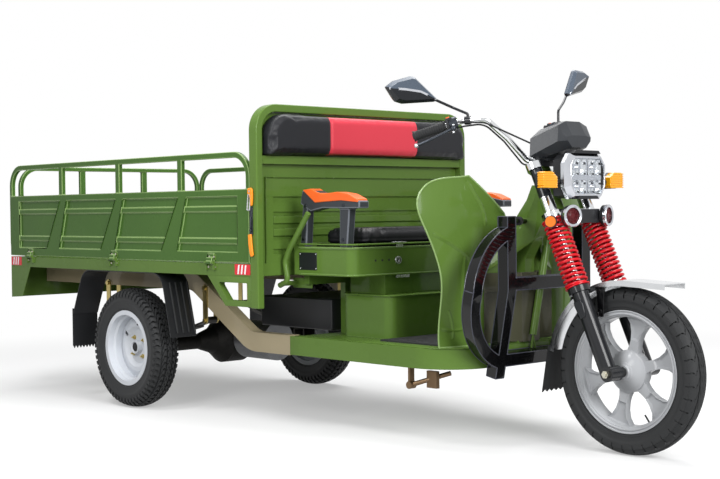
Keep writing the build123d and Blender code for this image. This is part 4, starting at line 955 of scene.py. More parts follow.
# %% Turn lamps
base, lens = bmesh.new(), bmesh.new()
outline = [(0.152, -0.036), (0.16, -0.046), (0.224, -0.044), (0.2315, -0.036), (0.231, 0.007),
           (0.223, 0.0148), (0.18, 0.0148), (0.152, -0.004)]
slab(base, [lamp + Vector((-0.056, y, z)) for y, z in outline], (0.011, 0, 0))
pillar(base, lamp + Vector((-0.047, 0.099, -0.021)), lamp + Vector((-0.047, 0.156, -0.021)), 0.009,
       0.012)
slab(lens, [lamp + Vector((-0.045, 0.192 + (y - 0.192) * 0.96, z * 0.96)) for y, z in outline],
     (0.0265, 0, 0))
for k in range(7):
    z = -0.0425 + 0.0083 * k
    inner = 0.155 if z < -0.01 else 0.158 + (z + 0.01) * 0.95
    brick(lens, lamp + Vector((-0.046, inner, z)), lamp + Vector((-0.0160, 0.2315, z + 0.0042)))
for shape in (base, lens):
    mirrored(shape)
finish_piece("turn_lamp_bases", base, [black_abs], "steering", "black_plastic", ["indicators"], 35,
             0.001)
finish_piece("turn_lamp_lenses", lens, [amber_acrylic], "steering", "lens_orange", sharp=35,
             bevel=0.0008)

# %% [markdown]
# ## Horns
# Two trumpet horns face slightly outwards under the lamp. A horn is a ring turned on a lathe,
# with a perforated disc behind it: a spun outline with a fan of bars in front.

# %% Horns
HORN_ACROSS, HORN_DROP, HORN_SPLAY = 0.102, 0.143, 14
rings, grilles, shells = bmesh.new(), bmesh.new(), bmesh.new()
for side in (-1, 1):
    place = (Matrix.Translation(lamp + Vector((0, side * HORN_ACROSS, -HORN_DROP)))
             @ Matrix.Rotation(math.radians(side * HORN_SPLAY - 90), 4, "Z"))
    ring, grille, shell = bmesh.new(), bmesh.new(), bmesh.new()
    spun(ring, [(0.002, 0.0395), (0.012, 0.0398), (0.0145, 0.0375), (0.015, 0.034),
                (0.0125, 0.0295), (0.004, 0.0285), (0.002, 0.0285)], 48)
    spun(grille, [(0.0015, 0.0005), (0.0015, 0.029), (0.004, 0.029), (0.006, 0.02),
                  (0.0075, 0.0095), (0.0095, 0.007), (0.0095, 0.0005)], 36)
    for k in range(8):
        bar = brick(grille, (-0.0012, 0.0045, 0.006), (0.0012, 0.0088, 0.0292))
        turn_about_axle(grille, bar, math.tau * k / 8)
    for radius in (0.0145, 0.0215):
        spun(grille, [(0.006, radius), (0.0085, radius), (0.0085, radius + 0.002),
                      (0.006, radius + 0.002)], 36)
    spun(shell, [(-0.015, 0.0005), (-0.015, 0.03), (-0.011, 0.0375), (0.003, 0.0385),
                 (0.003, 0.0005)], 48)
    for part, whole in ((ring, rings), (grille, grilles), (shell, shells)):
        place_by(part, place)
        join_in(whole, part)
middle = lamp + Vector((0, 0, -HORN_DROP))
brick(shells, middle + Vector((-0.045, -0.074, -0.026)), middle + Vector((-0.008, 0.074, 0.024)))
yoke = fork @ Vector((0.026, 0, 0.588))
brick(shells, (yoke.x, -0.015, yoke.z + 0.002), (lamp.x - 0.03, 0.015, yoke.z + 0.01))
finish_piece("horn_shells", shells, [black_abs], "steering", "black_plastic", ["horns"], 35, 0.001)
finish_piece("horn_rings", rings, [satin_chrome], "steering", "chrome")
finish_piece("horn_grilles", grilles, [dark_red_abs], "steering", "lamp_red")

# %% [markdown]
# ## Handlebar
# The grips are ribbed rubber sleeves with a flange at each end, turned from one outline. Inside
# them sit the switch blocks, two half shells clamped round the bar, with a few coloured buttons.
# The brake levers end in a ball, as the law asks, so that a fall doesn't make them a spike.

# %% Grips and switch blocks
BAR = fork @ Vector((-0.062, 0, 0.85))
bar_end = BAR + Vector((-0.268, 0.390, 0.092))
bar_bend = BAR + Vector((-0.140, 0.271, 0.146))
bar_way = (bar_bend - bar_end).normalized()
along_bar = Matrix.Translation(bar_end) @ bar_way.to_track_quat("Y", "Z").to_matrix().to_4x4()

RIDGES, RIDGE_PITCH = 12, 0.0086
grip = bmesh.new()
profile = [(-0.0035, 0.0125), (-0.0035, 0.019), (0.001, 0.0205), (0.004, 0.0178)]
for k in range(RIDGES):
    y = 0.009 + k * RIDGE_PITCH
    profile += [(y, 0.0166), (y + 0.0012, 0.0178), (y + 0.0060, 0.0178), (y + 0.0072, 0.0166)]
profile += [(0.114, 0.0168), (0.116, 0.0205), (0.121, 0.0205), (0.122, 0.0118)]
spun(grip, profile, 40)
place_by(grip, along_bar)
pillar(grip, bar_end + bar_way * -0.006, bar_end + bar_way * 0.002, 0.010, 0.0125)
mirrored(grip)
finish_piece("ribbed_grips", grip, [soft_rubber], "steering", "black_rubber", ["grips"])

block, buttons = bmesh.new(), bmesh.new()
brick(block, (-0.0215, 0.1235, -0.0255), (0.0215, 0.1345, 0.0215))
brick(block, (-0.0255, 0.1235, -0.029), (0.0255, 0.1490, 0.0175))
brick(block, (-0.012, 0.126, -0.042), (0.018, 0.1462, -0.024))
brick(buttons, (0.0255, 0.1285, -0.006), (0.0295, 0.1425, 0.0055))
brick(buttons, (0.0255, 0.1305, -0.0225), (0.0300, 0.1405, -0.0115))
for shape in (block, buttons):
    place_by(shape, along_bar @ Matrix.Rotation(math.radians(-90), 4, "Y"))
    mirrored(shape)
finish_piece("switch_blocks", block, [black_abs], "steering", "black_plastic", bevel=0.003)
finish_piece("switch_buttons", buttons, [orange_abs], "steering", "lens_orange", bevel=0.001)

# %% Lever ends
ahead = Vector((bar_way.y, -bar_way.x, 0)).normalized() * -1
ends = bmesh.new()
tip = bar_end + bar_way * 0.008 + ahead * 0.026 - Vector((0, 0, 0.038))
bmesh.ops.create_uvsphere(ends, u_segments=16, v_segments=10, radius=0.0085,
                          matrix=Matrix.Translation(tip))
clamp = bar_end + bar_way * 0.150 + ahead * 0.026 - Vector((0, 0, 0.018))
pillar(ends, clamp - Vector((0, 0, 0.017)), clamp + Vector((0, 0, 0.015)), 0.0055, segments=12)
mirrored(ends)
finish_piece("lever_balls_and_pivots", ends, [satin_alloy], "steering", "bright_steel")
nodes["brake_levers"].data.materials[0] = dark_alloy

# %% [markdown]
# ## Mirrors
# The mirror heads are folded shells: a blue-grey upper facet and a black lower one meet at a
# bright strip. Each cap is an outline on the shell, pushed forward and narrowed, whose front is
# two facets that share a raised ridge. The glass is a thin slab on the rider's side.

# %% Mirrors
outline = [(0.102, 0.008), (0.072, 0.029), (0.0, 0.049), (-0.014, 0.047), (-0.104, -0.024),
           (-0.100, -0.038), (0.034, -0.049), (0.064, -0.042)]
ridge = [(0.094, 0.002), (0.03, 0.0), (-0.03, -0.006), (-0.096, -0.03)]
upper, lower, strip, glass = bmesh.new(), bmesh.new(), bmesh.new(), bmesh.new()
yaw = math.radians(13.6)
for side, across, rise, roll in ((-1, 0.475, 0.252, 0), (1, 0.471, 0.334, 16)):
    out = Vector((-math.sin(yaw), side * math.cos(yaw), 0))
    ahead = Vector((math.cos(yaw), side * math.sin(yaw), 0))
    tilt = Matrix.Rotation(math.radians(roll), 2)
    origin = Vector((BAR.x - 0.207, side * across, BAR.z + rise))

    def spot(u, v, w):
        """A point of this mirror: u outwards, v up, w forwards."""
        u, v = tilt @ Vector((u, v))
        return origin + out * u + Vector((0, 0, v)) + ahead * w

    inner = [(u * 0.88, v * 0.8) for u, v in outline]
    top, bottom = outline[:5], [outline[4], *outline[5:], outline[0]]
    for shape, rim, small, line in ((upper, top, inner[:5], ridge[::-1]),
                                    (lower, bottom, [inner[4], *inner[5:], inner[0]], ridge)):
        back = [shape.verts.new(spot(u * 1.012, v * 1.02, 0.002)) for u, v in rim]
        edge = [shape.verts.new(spot(u, v, 0.0125)) for u, v in rim]
        fold = [shape.verts.new(spot(u, v, 0.0245)) for u, v in small[1:-1]]
        crease = [shape.verts.new(spot(u, v, 0.0275)) for u, v in line]
        chain = [crease[-1], *fold, crease[0]]
        for near, far in ((back, edge), (edge, chain)):
            for k in range(len(rim) - 1):
                shape.faces.new((near[k], near[k + 1], far[k + 1], far[k]))
        shape.faces.new(fold + crease)
    band = [(u, v + 0.004) for u, v in ridge] + [(u, v - 0.004) for u, v in ridge[::-1]]
    slab(strip, [spot(u * 1.03, v, 0.0275 - abs(u) * 0.05) for u, v in band], ahead * 0.0028)
    slab(glass, [spot(u * 0.92, v * 0.9, -0.002) for u, v in outline], ahead * 0.0015)
finish_piece("mirror_caps_upper", upper, [blue_grey_shell], "steering", "mirror_shell", sharp=20)
finish_piece("mirror_caps_lower", lower, [gloss_black_abs], "steering", "mirror_shell", sharp=20)
finish_piece("mirror_strips", strip, [satin_chrome], "steering", "chrome")
finish_piece("mirror_glass", glass, [chrome_plate], "steering", "bright_steel")

# %% [markdown]
# ## Fork shrouds and side reflectors
# The fork's upper tubes are covered: a chromed cup stands on the lower yoke, a black sleeve goes
# on from it to the upper yoke, and a cap nut closes the top. Each is a short cone along the leg.
# Beside them, a round orange reflector faces outwards on its own black backing.

# %% Fork shrouds and side reflectors
tubes, blacks, discs, backs = bmesh.new(), bmesh.new(), bmesh.new(), bmesh.new()
leg = Vector((-0.012, 0.109, 0))
for shape, start, end, foot, top, sides in ((tubes, 0.6145, 0.6765, 0.0255, 0.0245, 40),
                                            (tubes, 0.6120, 0.6185, 0.029, 0.0275, 40),
                                            (blacks, 0.6765, 0.785, 0.0235, 0.0225, 40),
                                            (blacks, 0.8125, 0.8185, 0.0175, 0.0165, 6)):
    low, high = (fork @ (leg + Vector((0, 0, along))) for along in (start, end))
    pillar(shape, low, high, foot, top, sides)
mount = Vector((1.2955, -0.158, 0.822))
for side in (-1, 1):
    place = Vector((mount.x, side * abs(mount.y), mount.z))
    face = Vector((0.35, side, 0)).normalized()
    pillar(discs, place, place + face * 0.0065, 0.0205, 0.019, 32)
    pillar(backs, place - face * 0.004, place + face * 0.0035, 0.0225, 0.022, 32)
    pillar(backs, place - face * 0.022, place, 0.006, segments=12)
for shape in (tubes, blacks):
    mirrored(shape)
finish_piece("fork_shrouds", tubes, [chrome_plate], "steering", "chrome")
finish_piece("fork_shrouds_upper", blacks, [gloss_black_abs], "steering", "slider_black")
finish_piece("side_reflectors", discs, [orange_lens], "steering", "lens_orange")
finish_piece("side_reflector_backs", backs, [black_abs], "steering", "black_plastic")

# %% [markdown]
# ## Cushion and headboard pad
# Both are foam under vinyl. A block with rounded edges would look hard, because a sewn cover is
# tight at its seams and round between them. So each pad starts as a slightly small block, is
# remeshed evenly, and is blown up as cloth for twenty steps. How far a point may move is capped.
# After that the back is pressed flat where it lies on its board, and the seams are drawn in as
# narrow grooves, with small gathers beside them, where the thread pulls the cover together.


# %% Blow up a pad
VOXEL = 0.0055
SWELL_STEPS = 20


def applied(piece):
    """Turns a piece's modifiers into its mesh."""
    view = bpy.context.evaluated_depsgraph_get()
    made = bpy.data.meshes.new_from_object(piece.evaluated_get(view), depsgraph=view)
    piece.modifiers.clear()
    piece.data = made
    return made


def blown_up(name, shape, cap, pressure=4.0):
    """A closed shape remeshed evenly and swollen as cloth; returns the piece."""
    bmesh.ops.recalc_face_normals(shape, faces=shape.faces)
    piece = as_piece(name, shape)
    even = piece.modifiers.new("even mesh", "REMESH")
    even.mode = "VOXEL"
    even.voxel_size = VOXEL
    mesh = applied(piece)
    before = [corner.co.copy() for corner in mesh.vertices]
    cloth = piece.modifiers.new("air", "CLOTH")
    cloth.settings.use_pressure = True
    cloth.settings.uniform_pressure_force = pressure
    cloth.settings.effector_weights.gravity = 0
    for step in range(1, SWELL_STEPS + 1):
        scene.frame_set(step)
    mesh = applied(piece)
    scene.frame_set(1)
    for corner, start in zip(mesh.vertices, before):
        move = corner.co - start
        if move.length > cap:
            corner.co = start + move.normalized() * cap
    print(name, len(mesh.vertices), "points,", "swollen")
    return piece


def dip(distance, width):
    """A smooth groove: 1 on the seam, 0 beyond a few widths."""
    return math.exp(-(distance / width) ** 2)


def finish_pad(piece, coats, node, body):
    mesh = piece.data
    mesh.materials.clear()
    for coat in coats:
        mesh.materials.append(coat)
    mesh.shade_smooth()
    smooth = piece.modifiers.new("smooth", "SUBSURF")
    smooth.levels = smooth.render_levels = 1
    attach(piece, body)
    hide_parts(node)


# %% Headboard pad
low, high = corners_of("headboard_pad")
SEAM = 0.248
SEAM_WIDTH = 0.006
PAD_CAP = 0.007
half, bend = high.y, 0.088
corners = [(-half, low.z), (half, low.z)]
for k in range(7):
    turn = math.radians(15 * k)
    corners.append((half - bend + bend * math.cos(turn), high.z - bend + bend * math.sin(turn)))
for k in range(7):
    turn = math.radians(90 + 15 * k)
    corners.append((-half + bend + bend * math.cos(turn), high.z - bend + bend * math.sin(turn)))
centre = (low.z + high.z) / 2
shape = bmesh.new()
slab(shape, [(low.x + 0.001, y * 0.999, centre + (z - centre) * 0.995) for y, z in corners],
     (high.x - low.x - 0.009, 0, 0))
rim = [edge for edge in shape.edges if all(corner.co.x > low.x + 0.01 for corner in edge.verts)]
round_over(shape, rim, 0.013, 4)
pad = blown_up("stuffed_headboard_pad", shape, PAD_CAP, 3.0)
for corner in pad.data.vertices:
    p = corner.co
    lean = (p.x - low.x) / (high.x - low.x)
    for seam in (-SEAM, SEAM):
        p.x -= 0.0045 * dip(p.y - seam, SEAM_WIDTH) * max(lean, 0)
    pull = dip(p.z - low.z, 0.03) + dip(p.z - high.z, 0.03) + dip(abs(p.y) - half, 0.035)
    p.x += (0.0011 * pull * lean * math.sin(p.y * 110 + 1.7 * math.sin(p.z * 60))
            * math.sin(p.y * 37 + 0.6))
    p.x = min(max(p.x, low.x + 0.0005), high.x + 0.004)
    p.z = min(max(p.z, low.z), high.z)
    p.y = min(max(p.y, low.y), high.y)
finish_pad(pad, [black_vinyl, red_vinyl], "headboard_pad", "chassis")
for face in pad.data.polygons:
    face.material_index = 1 if abs(face.center.y) < SEAM else 0

# %% Seat cushion
CUSHION_CAP = 0.016
SEAM_INSET = 0.12
low, high = corners_of("seat_cushion")
shape = bmesh.new()
brick(shape, low + Vector((0.011, 0.011, 0.001)), high - Vector((0.011, 0.011, 0.012)))
upright = [e for e in shape.edges if abs(e.verts[0].co.z - e.verts[1].co.z) > 0.02]
round_over(shape, upright, 0.045, 6)
rim = [e for e in shape.edges if all(corner.co.z > high.z - 0.02 for corner in e.verts)]
round_over(shape, rim, 0.02, 4)
cushion = blown_up("stuffed_seat_cushion", shape, CUSHION_CAP)
middle = (low + high) / 2
for corner in cushion.data.vertices:
    p = corner.co
    up = max((p.z - low.z) / (high.z - low.z), 0)
    edge = max(abs(p.y - middle.y) / (high.y - middle.y), abs(p.x - middle.x) / (high.x - middle.x))
    for seam in (low.y + SEAM_INSET, high.y - SEAM_INSET):
        p.z -= 0.005 * dip(p.y - seam, SEAM_WIDTH) * up
    if up > 0.25:
        gather = dip(edge - 0.93, 0.09) * (0.35 + dip(abs(p.y) - 0.30, 0.06))
        p.z += 0.0022 * gather * math.sin((p.x + p.y) * 230) * math.sin(p.y * 57 + 1.1)
    side = dip(p.z - (low.z + 0.016), 0.004)
    p.x -= math.copysign(0.003, p.x - middle.x) * side * (abs(p.x - middle.x) > 0.11)
    p.y -= math.copysign(0.003, p.y - middle.y) * side * (abs(p.y - middle.y) > 0.33)
    p.z = min(max(p.z, low.z + 0.0003), high.z + 0.002)
    p.x = min(max(p.x, low.x), high.x)
    p.y = min(max(p.y, low.y), high.y)
finish_pad(cushion, [cushion_vinyl], "seat_cushion", "seat")

# %% [markdown]
# ## Armrests and headboard
# The armrests are two-colour mouldings: a grey-black body with an orange grip let into the
# outside of its top edge. The sheet under the pad is pressed with level ribs, which stop a large
# panel from drumming. A rib is a flat bar whose front is narrower than its foot, as a press tool
# leaves it.


# %% Armrest grips
arm_low, arm_high = corners_of("armrests")
corner_x, seat_top = arm_high.x - 0.392, arm_low.z
grip = bmesh.new()
outline = [(0.066, 0.2250), (0.115, 0.2290), (0.150, 0.2150), (0.185, 0.2068), (0.225, 0.2105),
           (0.270, 0.2140), (0.330, 0.2060), (0.384, 0.1850), (0.386, 0.1730), (0.292, 0.1805),
           (0.200, 0.1770), (0.140, 0.1735)]
slab(grip, [(corner_x + x, -arm_high.y - 0.0035, seat_top + z) for x, z in outline], (0, 0.054, 0))
mirrored(grip)
finish_piece("armrest_grips", grip, [orange_abs], "chassis", "latch_orange", bevel=0.0025)
screws = bmesh.new()
for x, z in ((0.080, 0.162), (0.302, 0.162), (0.0555, 0.03), (0.289, 0.03)):
    spot = Vector((corner_x + x, -arm_high.y + (0.0 if z > 0.1 else 0.008), seat_top + z))
    pillar(screws, spot + Vector((0, 0.002, 0)), spot - Vector((0, 0.0025, 0)), 0.0075, 0.0062, 16)
mirrored(screws)
finish_piece("armrest_screws", screws, [dark_alloy], "chassis", "zinc")


# %% Ribs of the headboard's panel
def pressed_rib(shape, low, high, slope):
    """A bar standing on the panel's front face, narrower at the front."""
    foot = [(low.x, low.y, low.z), (low.x, high.y, low.z), (low.x, high.y, high.z),
            (low.x, low.y, high.z)]
    face = shape.faces.new([shape.verts.new(p) for p in foot])
    made = bmesh.ops.extrude_face_region(shape, geom=[face])
    for corner in (item for item in made["geom"] if isinstance(item, bmesh.types.BMVert)):
        corner.co.x = high.x
        corner.co.y += slope if corner.co.y < 0 else -slope
        corner.co.z += slope if corner.co.z < (low.z + high.z) / 2 else -slope


ribs = bmesh.new()
front = corners_of("headboard_panel")[0].x + 0.003
for z in (0.8165, 0.7665):
    pressed_rib(ribs, Vector((front - 0.001, -0.5035, z)),
                Vector((front + 0.0105, 0.5035, z + 0.038)), 0.006)
for z0, z1 in ((1.004, 1.0085), (0.9290, 0.9330)):
    pressed_rib(ribs, Vector((front, -0.535, z0)), Vector((front + 0.0105, 0.535, z1)), 0.001)
for y in (-1, 1):
    pressed_rib(ribs, Vector((front, min(y * 0.535, y * 0.5395), 0.70)),
                Vector((front + 0.0105, max(y * 0.535, y * 0.5395), 1.008)), 0.001)
finish_piece("headboard_ribs", ribs, [green_enamel], "chassis", "green_paint", bevel=0.0018)

# %% [markdown]
# ## Seat locker
# The locker carries a rolled bead along its top and foot, a lock, three drain holes, a hasp, and a
# riveted data plate, which stays blank here.

# %% Beads, lock and plate on the seat locker
box_low, box_high = corners_of("seat_box")


def bead_round(shape, low, high, z, corner, radius, out):
    """A rolled bead round the outside of a locker at one height."""
    path = []
    for sx, sy, start in ((1, 1, 0), (-1, 1, 90), (-1, -1, 180), (1, -1, 270)):
        middle = Vector(((high.x if sx > 0 else low.x) - sx * (corner - out),
                         (high.y if sy > 0 else low.y) - sy * (corner - out), z))
        for k in range(7):
            turn = math.radians(start + 15 * k)
            path.append(middle + Vector((math.cos(turn), math.sin(turn), 0)) * corner)
    for near, far in zip(path, path[1:] + path[:1]):
        pillar(shape, near, far, radius, segments=10)
        ball_joint(shape, near, radius)


BEAD_PROUD = 0.0008
beads = bmesh.new()
bead_round(beads, box_low, box_high, box_high.z - 0.0032, 0.046, 0.0034, BEAD_PROUD)
bead_round(beads, box_low, box_high, box_low.z + 0.0028, 0.046, 0.0032, BEAD_PROUD)
low, high = corners_of("battery_box")
bead_round(beads, low, high, high.z - 0.0028, 0.043, 0.0030, BEAD_PROUD)
for side in (-1, 1):
    brick(beads, (box_low.x + 0.001, min(side * 0.4335, side * 0.4305), box_low.z + 0.001),
          (box_low.x + 0.062, max(side * 0.4335, side * 0.4305), box_high.z - 0.001))
finish_piece("locker_beads", beads, [green_enamel], "chassis", "green_paint")

plate, rivets, dark = bmesh.new(), bmesh.new(), bmesh.new()
side = box_low.y + 0.006
brick(plate, (0.2415, side - 0.0012, 0.6365), (0.3475, side + 0.0005, 0.7055))
for x in (0.2475, 0.3415):
    for z in (0.6425, 0.6995):
        pillar(rivets, (x, side, z), (x, side - 0.003, z), 0.0036, 0.0024, 12)
face = box_high.x - 0.006
pillar(rivets, (face, -0.191, 0.673), (face + 0.006, -0.191, 0.673), 0.0165, 0.0150, 32)
pillar(dark, (face + 0.005, -0.191, 0.673), (face + 0.0075, -0.191, 0.673), 0.0105, 0.0095, 24)
brick(rivets, (face + 0.0075, -0.1925, 0.6665), (face + 0.0085, -0.1895, 0.6795))
# The three drain holes are flat black discs; their dark is painted shade inside the holes.
for y in (-0.312, -0.276, -0.240):
    pillar(dark, (face - 0.001, y, 0.675), (face + 0.0006, y, 0.675), 0.0045, segments=12)
brick(rivets, (face - 0.002, -0.225, box_high.z - 0.0005),
      (face + 0.0085, -0.150, box_high.z + 0.0035))
brick(rivets, (face + 0.0055, -0.205, box_high.z - 0.018),
      (face + 0.0085, -0.170, box_high.z + 0.002))
brick(rivets, (face - 0.001, -0.205, box_low.z - 0.012),
      (face + 0.0075, -0.135, box_low.z - 0.0005))
finish_piece("data_plate", plate, [plate_print], "chassis", "black_paint", bevel=0.0006)
finish_piece("locker_lock_and_rivets", rivets, [satin_alloy], "chassis", "zinc", bevel=0.0005)
finish_piece("locker_dark_fittings_and_hole_shade", dark, [black_abs], "chassis", "black_plastic")

# %% [markdown]
# ## Board latches and side reflectors
# Each headboard post carries an over-centre latch for its side board: an orange cam at the top, a
# wire loop that the cam pulls tight, a dark link, and an orange hand lever. All but the loop are
# flat outlines pushed out to their thickness.

# %% Board latches
low, high = corners_of("board_latches")
orange, steel, link = bmesh.new(), bmesh.new(), bmesh.new()
face = -(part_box("headboard_frame")[1][1])
middle_x = (low.x + high.x) / 2


def latch_plate(shape, outline, inner, outer):
    """A flat part of the latch, drawn in millimetres from the foot of its post."""
    slab(shape, [(middle_x + x * MM, face - inner * MM, low.z + z * MM) for x, z in outline],
         (0, -(outer - inner) * MM, 0))


latch_plate(orange, [(-14, 262), (-8, 268), (6, 269), (14, 262), (16, 236), (12, 200), (4, 196),
                     (2, 222), (-4, 240), (-14, 244)], 3, 11.5)
latch_plate(orange, [(-14, 84), (4, 86), (7, 60), (11, 30), (16, 4), (10, -2), (0, -3), (-6, 14),
                     (-12, 46)], 3.5, 11)
pillar(steel, (middle_x - 0.001, face - 0.002, low.z + 0.2545),
       (middle_x - 0.001, face - 0.0125, low.z + 0.2545), 0.0052, 0.0045, 16)
loop = [(-0.0105, 0.244), (0.0045, 0.240), (-0.004, 0.180), (-0.018, 0.182)]
for a, b in zip(loop, loop[1:] + loop[:1]):
    pillar(steel, (middle_x + a[0], face - 0.0085, low.z + a[1]),
           (middle_x + b[0], face - 0.0085, low.z + b[1]), 0.0032, segments=10)
latch_plate(link, [(-9, 184), (8, 196), (9, 84), (-9, 84)], 1, 5)
latch_plate(link, [(-5, 150), (5, 154), (5, 110), (-5, 106)], 4, 9)
pillar(link, (middle_x, face - 0.001, low.z + 0.100), (middle_x, face - 0.0105, low.z + 0.100),
       0.0065, segments=14)
for shape in (orange, steel, link):
    mirrored(shape)
finish_piece("latch_handles", orange, [latch_abs], "chassis", "latch_orange", ["board_latches"], 35,
             0.002)
finish_piece("latch_loops", steel, [satin_alloy], "chassis", "zinc")
finish_piece("latch_links", link, [dark_alloy], "chassis", "black_paint", bevel=0.001)

# %% [markdown]
# ## Safety strips
# The side beam has a strip of reflective sheeting at each end, red with slanted white bars. The
# bars are thin plates on the red one, because they have to stay sharp at any distance.

# %% Safety strips
STRIP_LENGTH, BAR_PITCH = 0.1, 0.022
red, pale = bmesh.new(), bmesh.new()
bed_low, bed_high = corners_of("bed_frame")
for start in (bed_low.x + 0.004, bed_high.x - 0.104):
    for side in (-1, 1):
        y = side * (bed_high.y + 0.0004)
        brick(red, (start, y - 0.0006, 0.618), (start + STRIP_LENGTH, y + 0.0006, 0.660))
        for k in range(3):
            x = start + 0.024 + BAR_PITCH * k
            bar = ((-0.007, 0.6205), (0.002, 0.6205), (0.008, 0.6575), (-0.001, 0.6575))
            slab(pale, [(x + dx, y + side * 0.0004, z) for dx, z in bar], (0, side * 0.0006, 0))
finish_piece("safety_strips_red", red, [red_sheeting], "chassis", "lamp_red")
finish_piece("safety_strips_white", pale, [white_sheeting], "chassis", "lamp_red")

# %% [markdown]
# ## Fork springs
# The springs are wound from round wire. A circle is spun about the leg while it climbs, which is
# what the spin's step vector is for, and both ends are closed by their own caps.

# %% Fork springs
WIRE, COIL, TURNS, STEPS_A_TURN = 0.0052, 0.0392, 14.5, 22
COIL_FOOT, COIL_LENGTH = 0.3295, 0.2565
shape = bmesh.new()
rise = COIL_LENGTH - 2 * WIRE
steps = int(TURNS * STEPS_A_TURN)
start = Matrix.Translation((COIL, 0, COIL_FOOT + WIRE)) @ Matrix.Rotation(math.pi / 2, 4, "X")
bmesh.ops.create_circle(shape, cap_ends=True, segments=10, radius=WIRE, matrix=start)
bmesh.ops.spin(shape, geom=shape.faces[:], cent=(0, 0, 0), axis=(0, 0, 1), steps=steps,
               angle=math.tau * TURNS, dvec=(0, 0, rise / steps))
for z in (COIL_FOOT - 0.001, COIL_FOOT + COIL_LENGTH - 0.003):
    bmesh.ops.create_cone(shape, cap_ends=True, segments=36, radius1=0.0455, radius2=0.0455,
                          depth=0.004, matrix=Matrix.Translation((0, 0, z + 0.002)))
place_by(shape, fork @ Matrix.Translation(leg))
mirrored(shape)
finish_piece("wound_fork_springs", shape, [red_powder_coat], "steering", "spring_red",
             ["fork_springs"])

# %% [markdown]
# ## Rolled edges
# The leg shields are domed, so the bead along their edge can't be drawn by hand. Its line is
# taken from the shield itself: the edges where the sheet's face meets its cut rim are kept, and
# each gets a round bar with a ball at its corners, in a paler green as a painted highlight. The
# guard's flat tube gets the same, much finer, along every edge, in grey as a painted highlight.


# %% Rolled edges
def rolled_edge(name, node, radius, keep, coat, body, slot, sharp):
    """A round bead along the sharp rim of a CAD sheet."""
    shape = bmesh.new()
    shape.from_mesh(nodes[node].data)
    bmesh.ops.remove_doubles(shape, verts=shape.verts, dist=CAD_WELD)
    turn = math.radians(sharp)
    loose = [e for e in shape.edges
             if not (e.is_manifold and e.calc_face_angle(0) > turn and keep(e))]
    bmesh.ops.delete(shape, geom=shape.faces[:], context="FACES_ONLY")
    bmesh.ops.delete(shape, geom=loose, context="EDGES")
    bmesh.ops.delete(shape, geom=[v for v in shape.verts if not v.link_edges], context="VERTS")
    bmesh.ops.remove_doubles(shape, verts=shape.verts, dist=0.0015)
    lines = bmesh.new()
    for edge in shape.edges:
        near, far = (corner.co.copy() for corner in edge.verts)
        if (far - near).length > 0.0008:
            pillar(lines, near, far, radius, segments=8)
    for corner in shape.verts:
        ball_joint(lines, corner.co, radius)
    shape.free()
    return finish_piece(name, lines, [coat], body, slot)


def front_rim(edge):
    """True where one of the faces at this edge looks forward."""
    return any(face.normal.x > 0.35 for face in edge.link_faces)


def any_rim(edge):
    """True everywhere, for a piece whose every sharp edge is rolled."""
    return True


RIM_SHARP = 50
# Both beads take a paler coat, a painted highlight along the edge.
rolled_edge("shield_beads", "leg_shields", 0.0034, front_rim, green_edge_painted_highlight, "chassis",
            "green_paint", RIM_SHARP)
rolled_edge("guard_edge_highlights", "bumper_guard", 0.0021, any_rim, black_edge_painted_highlight, "chassis",
            "black_paint", RIM_SHARP)

# %% [markdown]
# ## Creases of the leg shields
# Long low creases stiffen each shield and give it its face. A crease is drawn as a few points
# seen from the front, joined by a smooth curve. Rays sent backwards find the domed sheet under
# it, and a narrow ridge that swells in its middle and dies out at its ends is laid along what
# they hit.

# %% Creases pressed into the leg shields
sheet = BVHTree.FromPolygons([v.co for v in nodes["leg_shields"].data.vertices],
                             [p.vertices for p in nodes["leg_shields"].data.polygons])


SECTION = ((-1, -0.1), (-0.5, 0.45), (0, 1), (0.5, 0.45), (1, -0.1))


def smooth_path(line, steps=6):
    """A smooth curve through points, as a list of closer points."""
    knots = [Vector(knot) for knot in line]
    knots = [knots[0] * 2 - knots[1]] + knots + [knots[-1] * 2 - knots[-2]]
    path = []
    for a, b, c, d in zip(knots, knots[1:], knots[2:], knots[3:]):
        for step in range(steps):
            t = step / steps
            path.append(0.5 * (2 * b + (c - a) * t + (2 * a - 5 * b + 4 * c - d) * t ** 2
                               + (3 * b - a - 3 * c + d) * t ** 3))
    return path


def crease(shape, line, width, height):
    """A low ridge that follows the domed sheet along a line of (across, up) points."""
    path = smooth_path(line)
    rows = []
    for k, spot in enumerate(path[1:-1], 1):
        along = (path[k + 1] - path[k - 1]).normalized()
        across = Vector((-along.y, along.x))
        swell = math.sin(math.pi * k / len(path)) ** 0.5
        row = []
        for share, lift in SECTION:
            y, z = spot + across * share * width / 2
            point, normal, _, _ = sheet.ray_cast(Vector((1.6, y, z)), Vector((-1, 0, 0)))
            if point:
                row.append(shape.verts.new(point + normal * height * lift * swell))
        if len(row) == len(SECTION):
            rows.append(row)
    for near, far in zip(rows, rows[1:]):
        for k in range(len(SECTION) - 1):
            shape.faces.new((near[k], near[k + 1], far[k + 1], far[k]))


shape = bmesh.new()
crease(shape, [(-0.418, 0.784), (-0.395, 0.774), (-0.367, 0.759), (-0.347, 0.748), (-0.322, 0.732),
               (-0.296, 0.717), (-0.269, 0.694), (-0.245, 0.655)], 0.022, 0.006)
crease(shape, [(-0.262, 0.975), (-0.240, 0.954), (-0.218, 0.917), (-0.198, 0.884), (-0.184, 0.840),
               (-0.180, 0.790)], 0.020, 0.005)
crease(shape, [(-0.276, 0.730), (-0.288, 0.648), (-0.293, 0.575), (-0.290, 0.502), (-0.282, 0.440)],
       0.018, 0.005)
crease(shape, [(-0.392, 0.437), (-0.355, 0.431), (-0.320, 0.430), (-0.285, 0.434)], 0.016, 0.005)
crease(shape, [(-0.340, 0.395), (-0.338, 0.420), (-0.345, 0.470), (-0.362, 0.520)], 0.014, 0.004)
mirrored(shape)
finish_piece("shield_creases", shape, [green_enamel], "chassis", "green_paint")

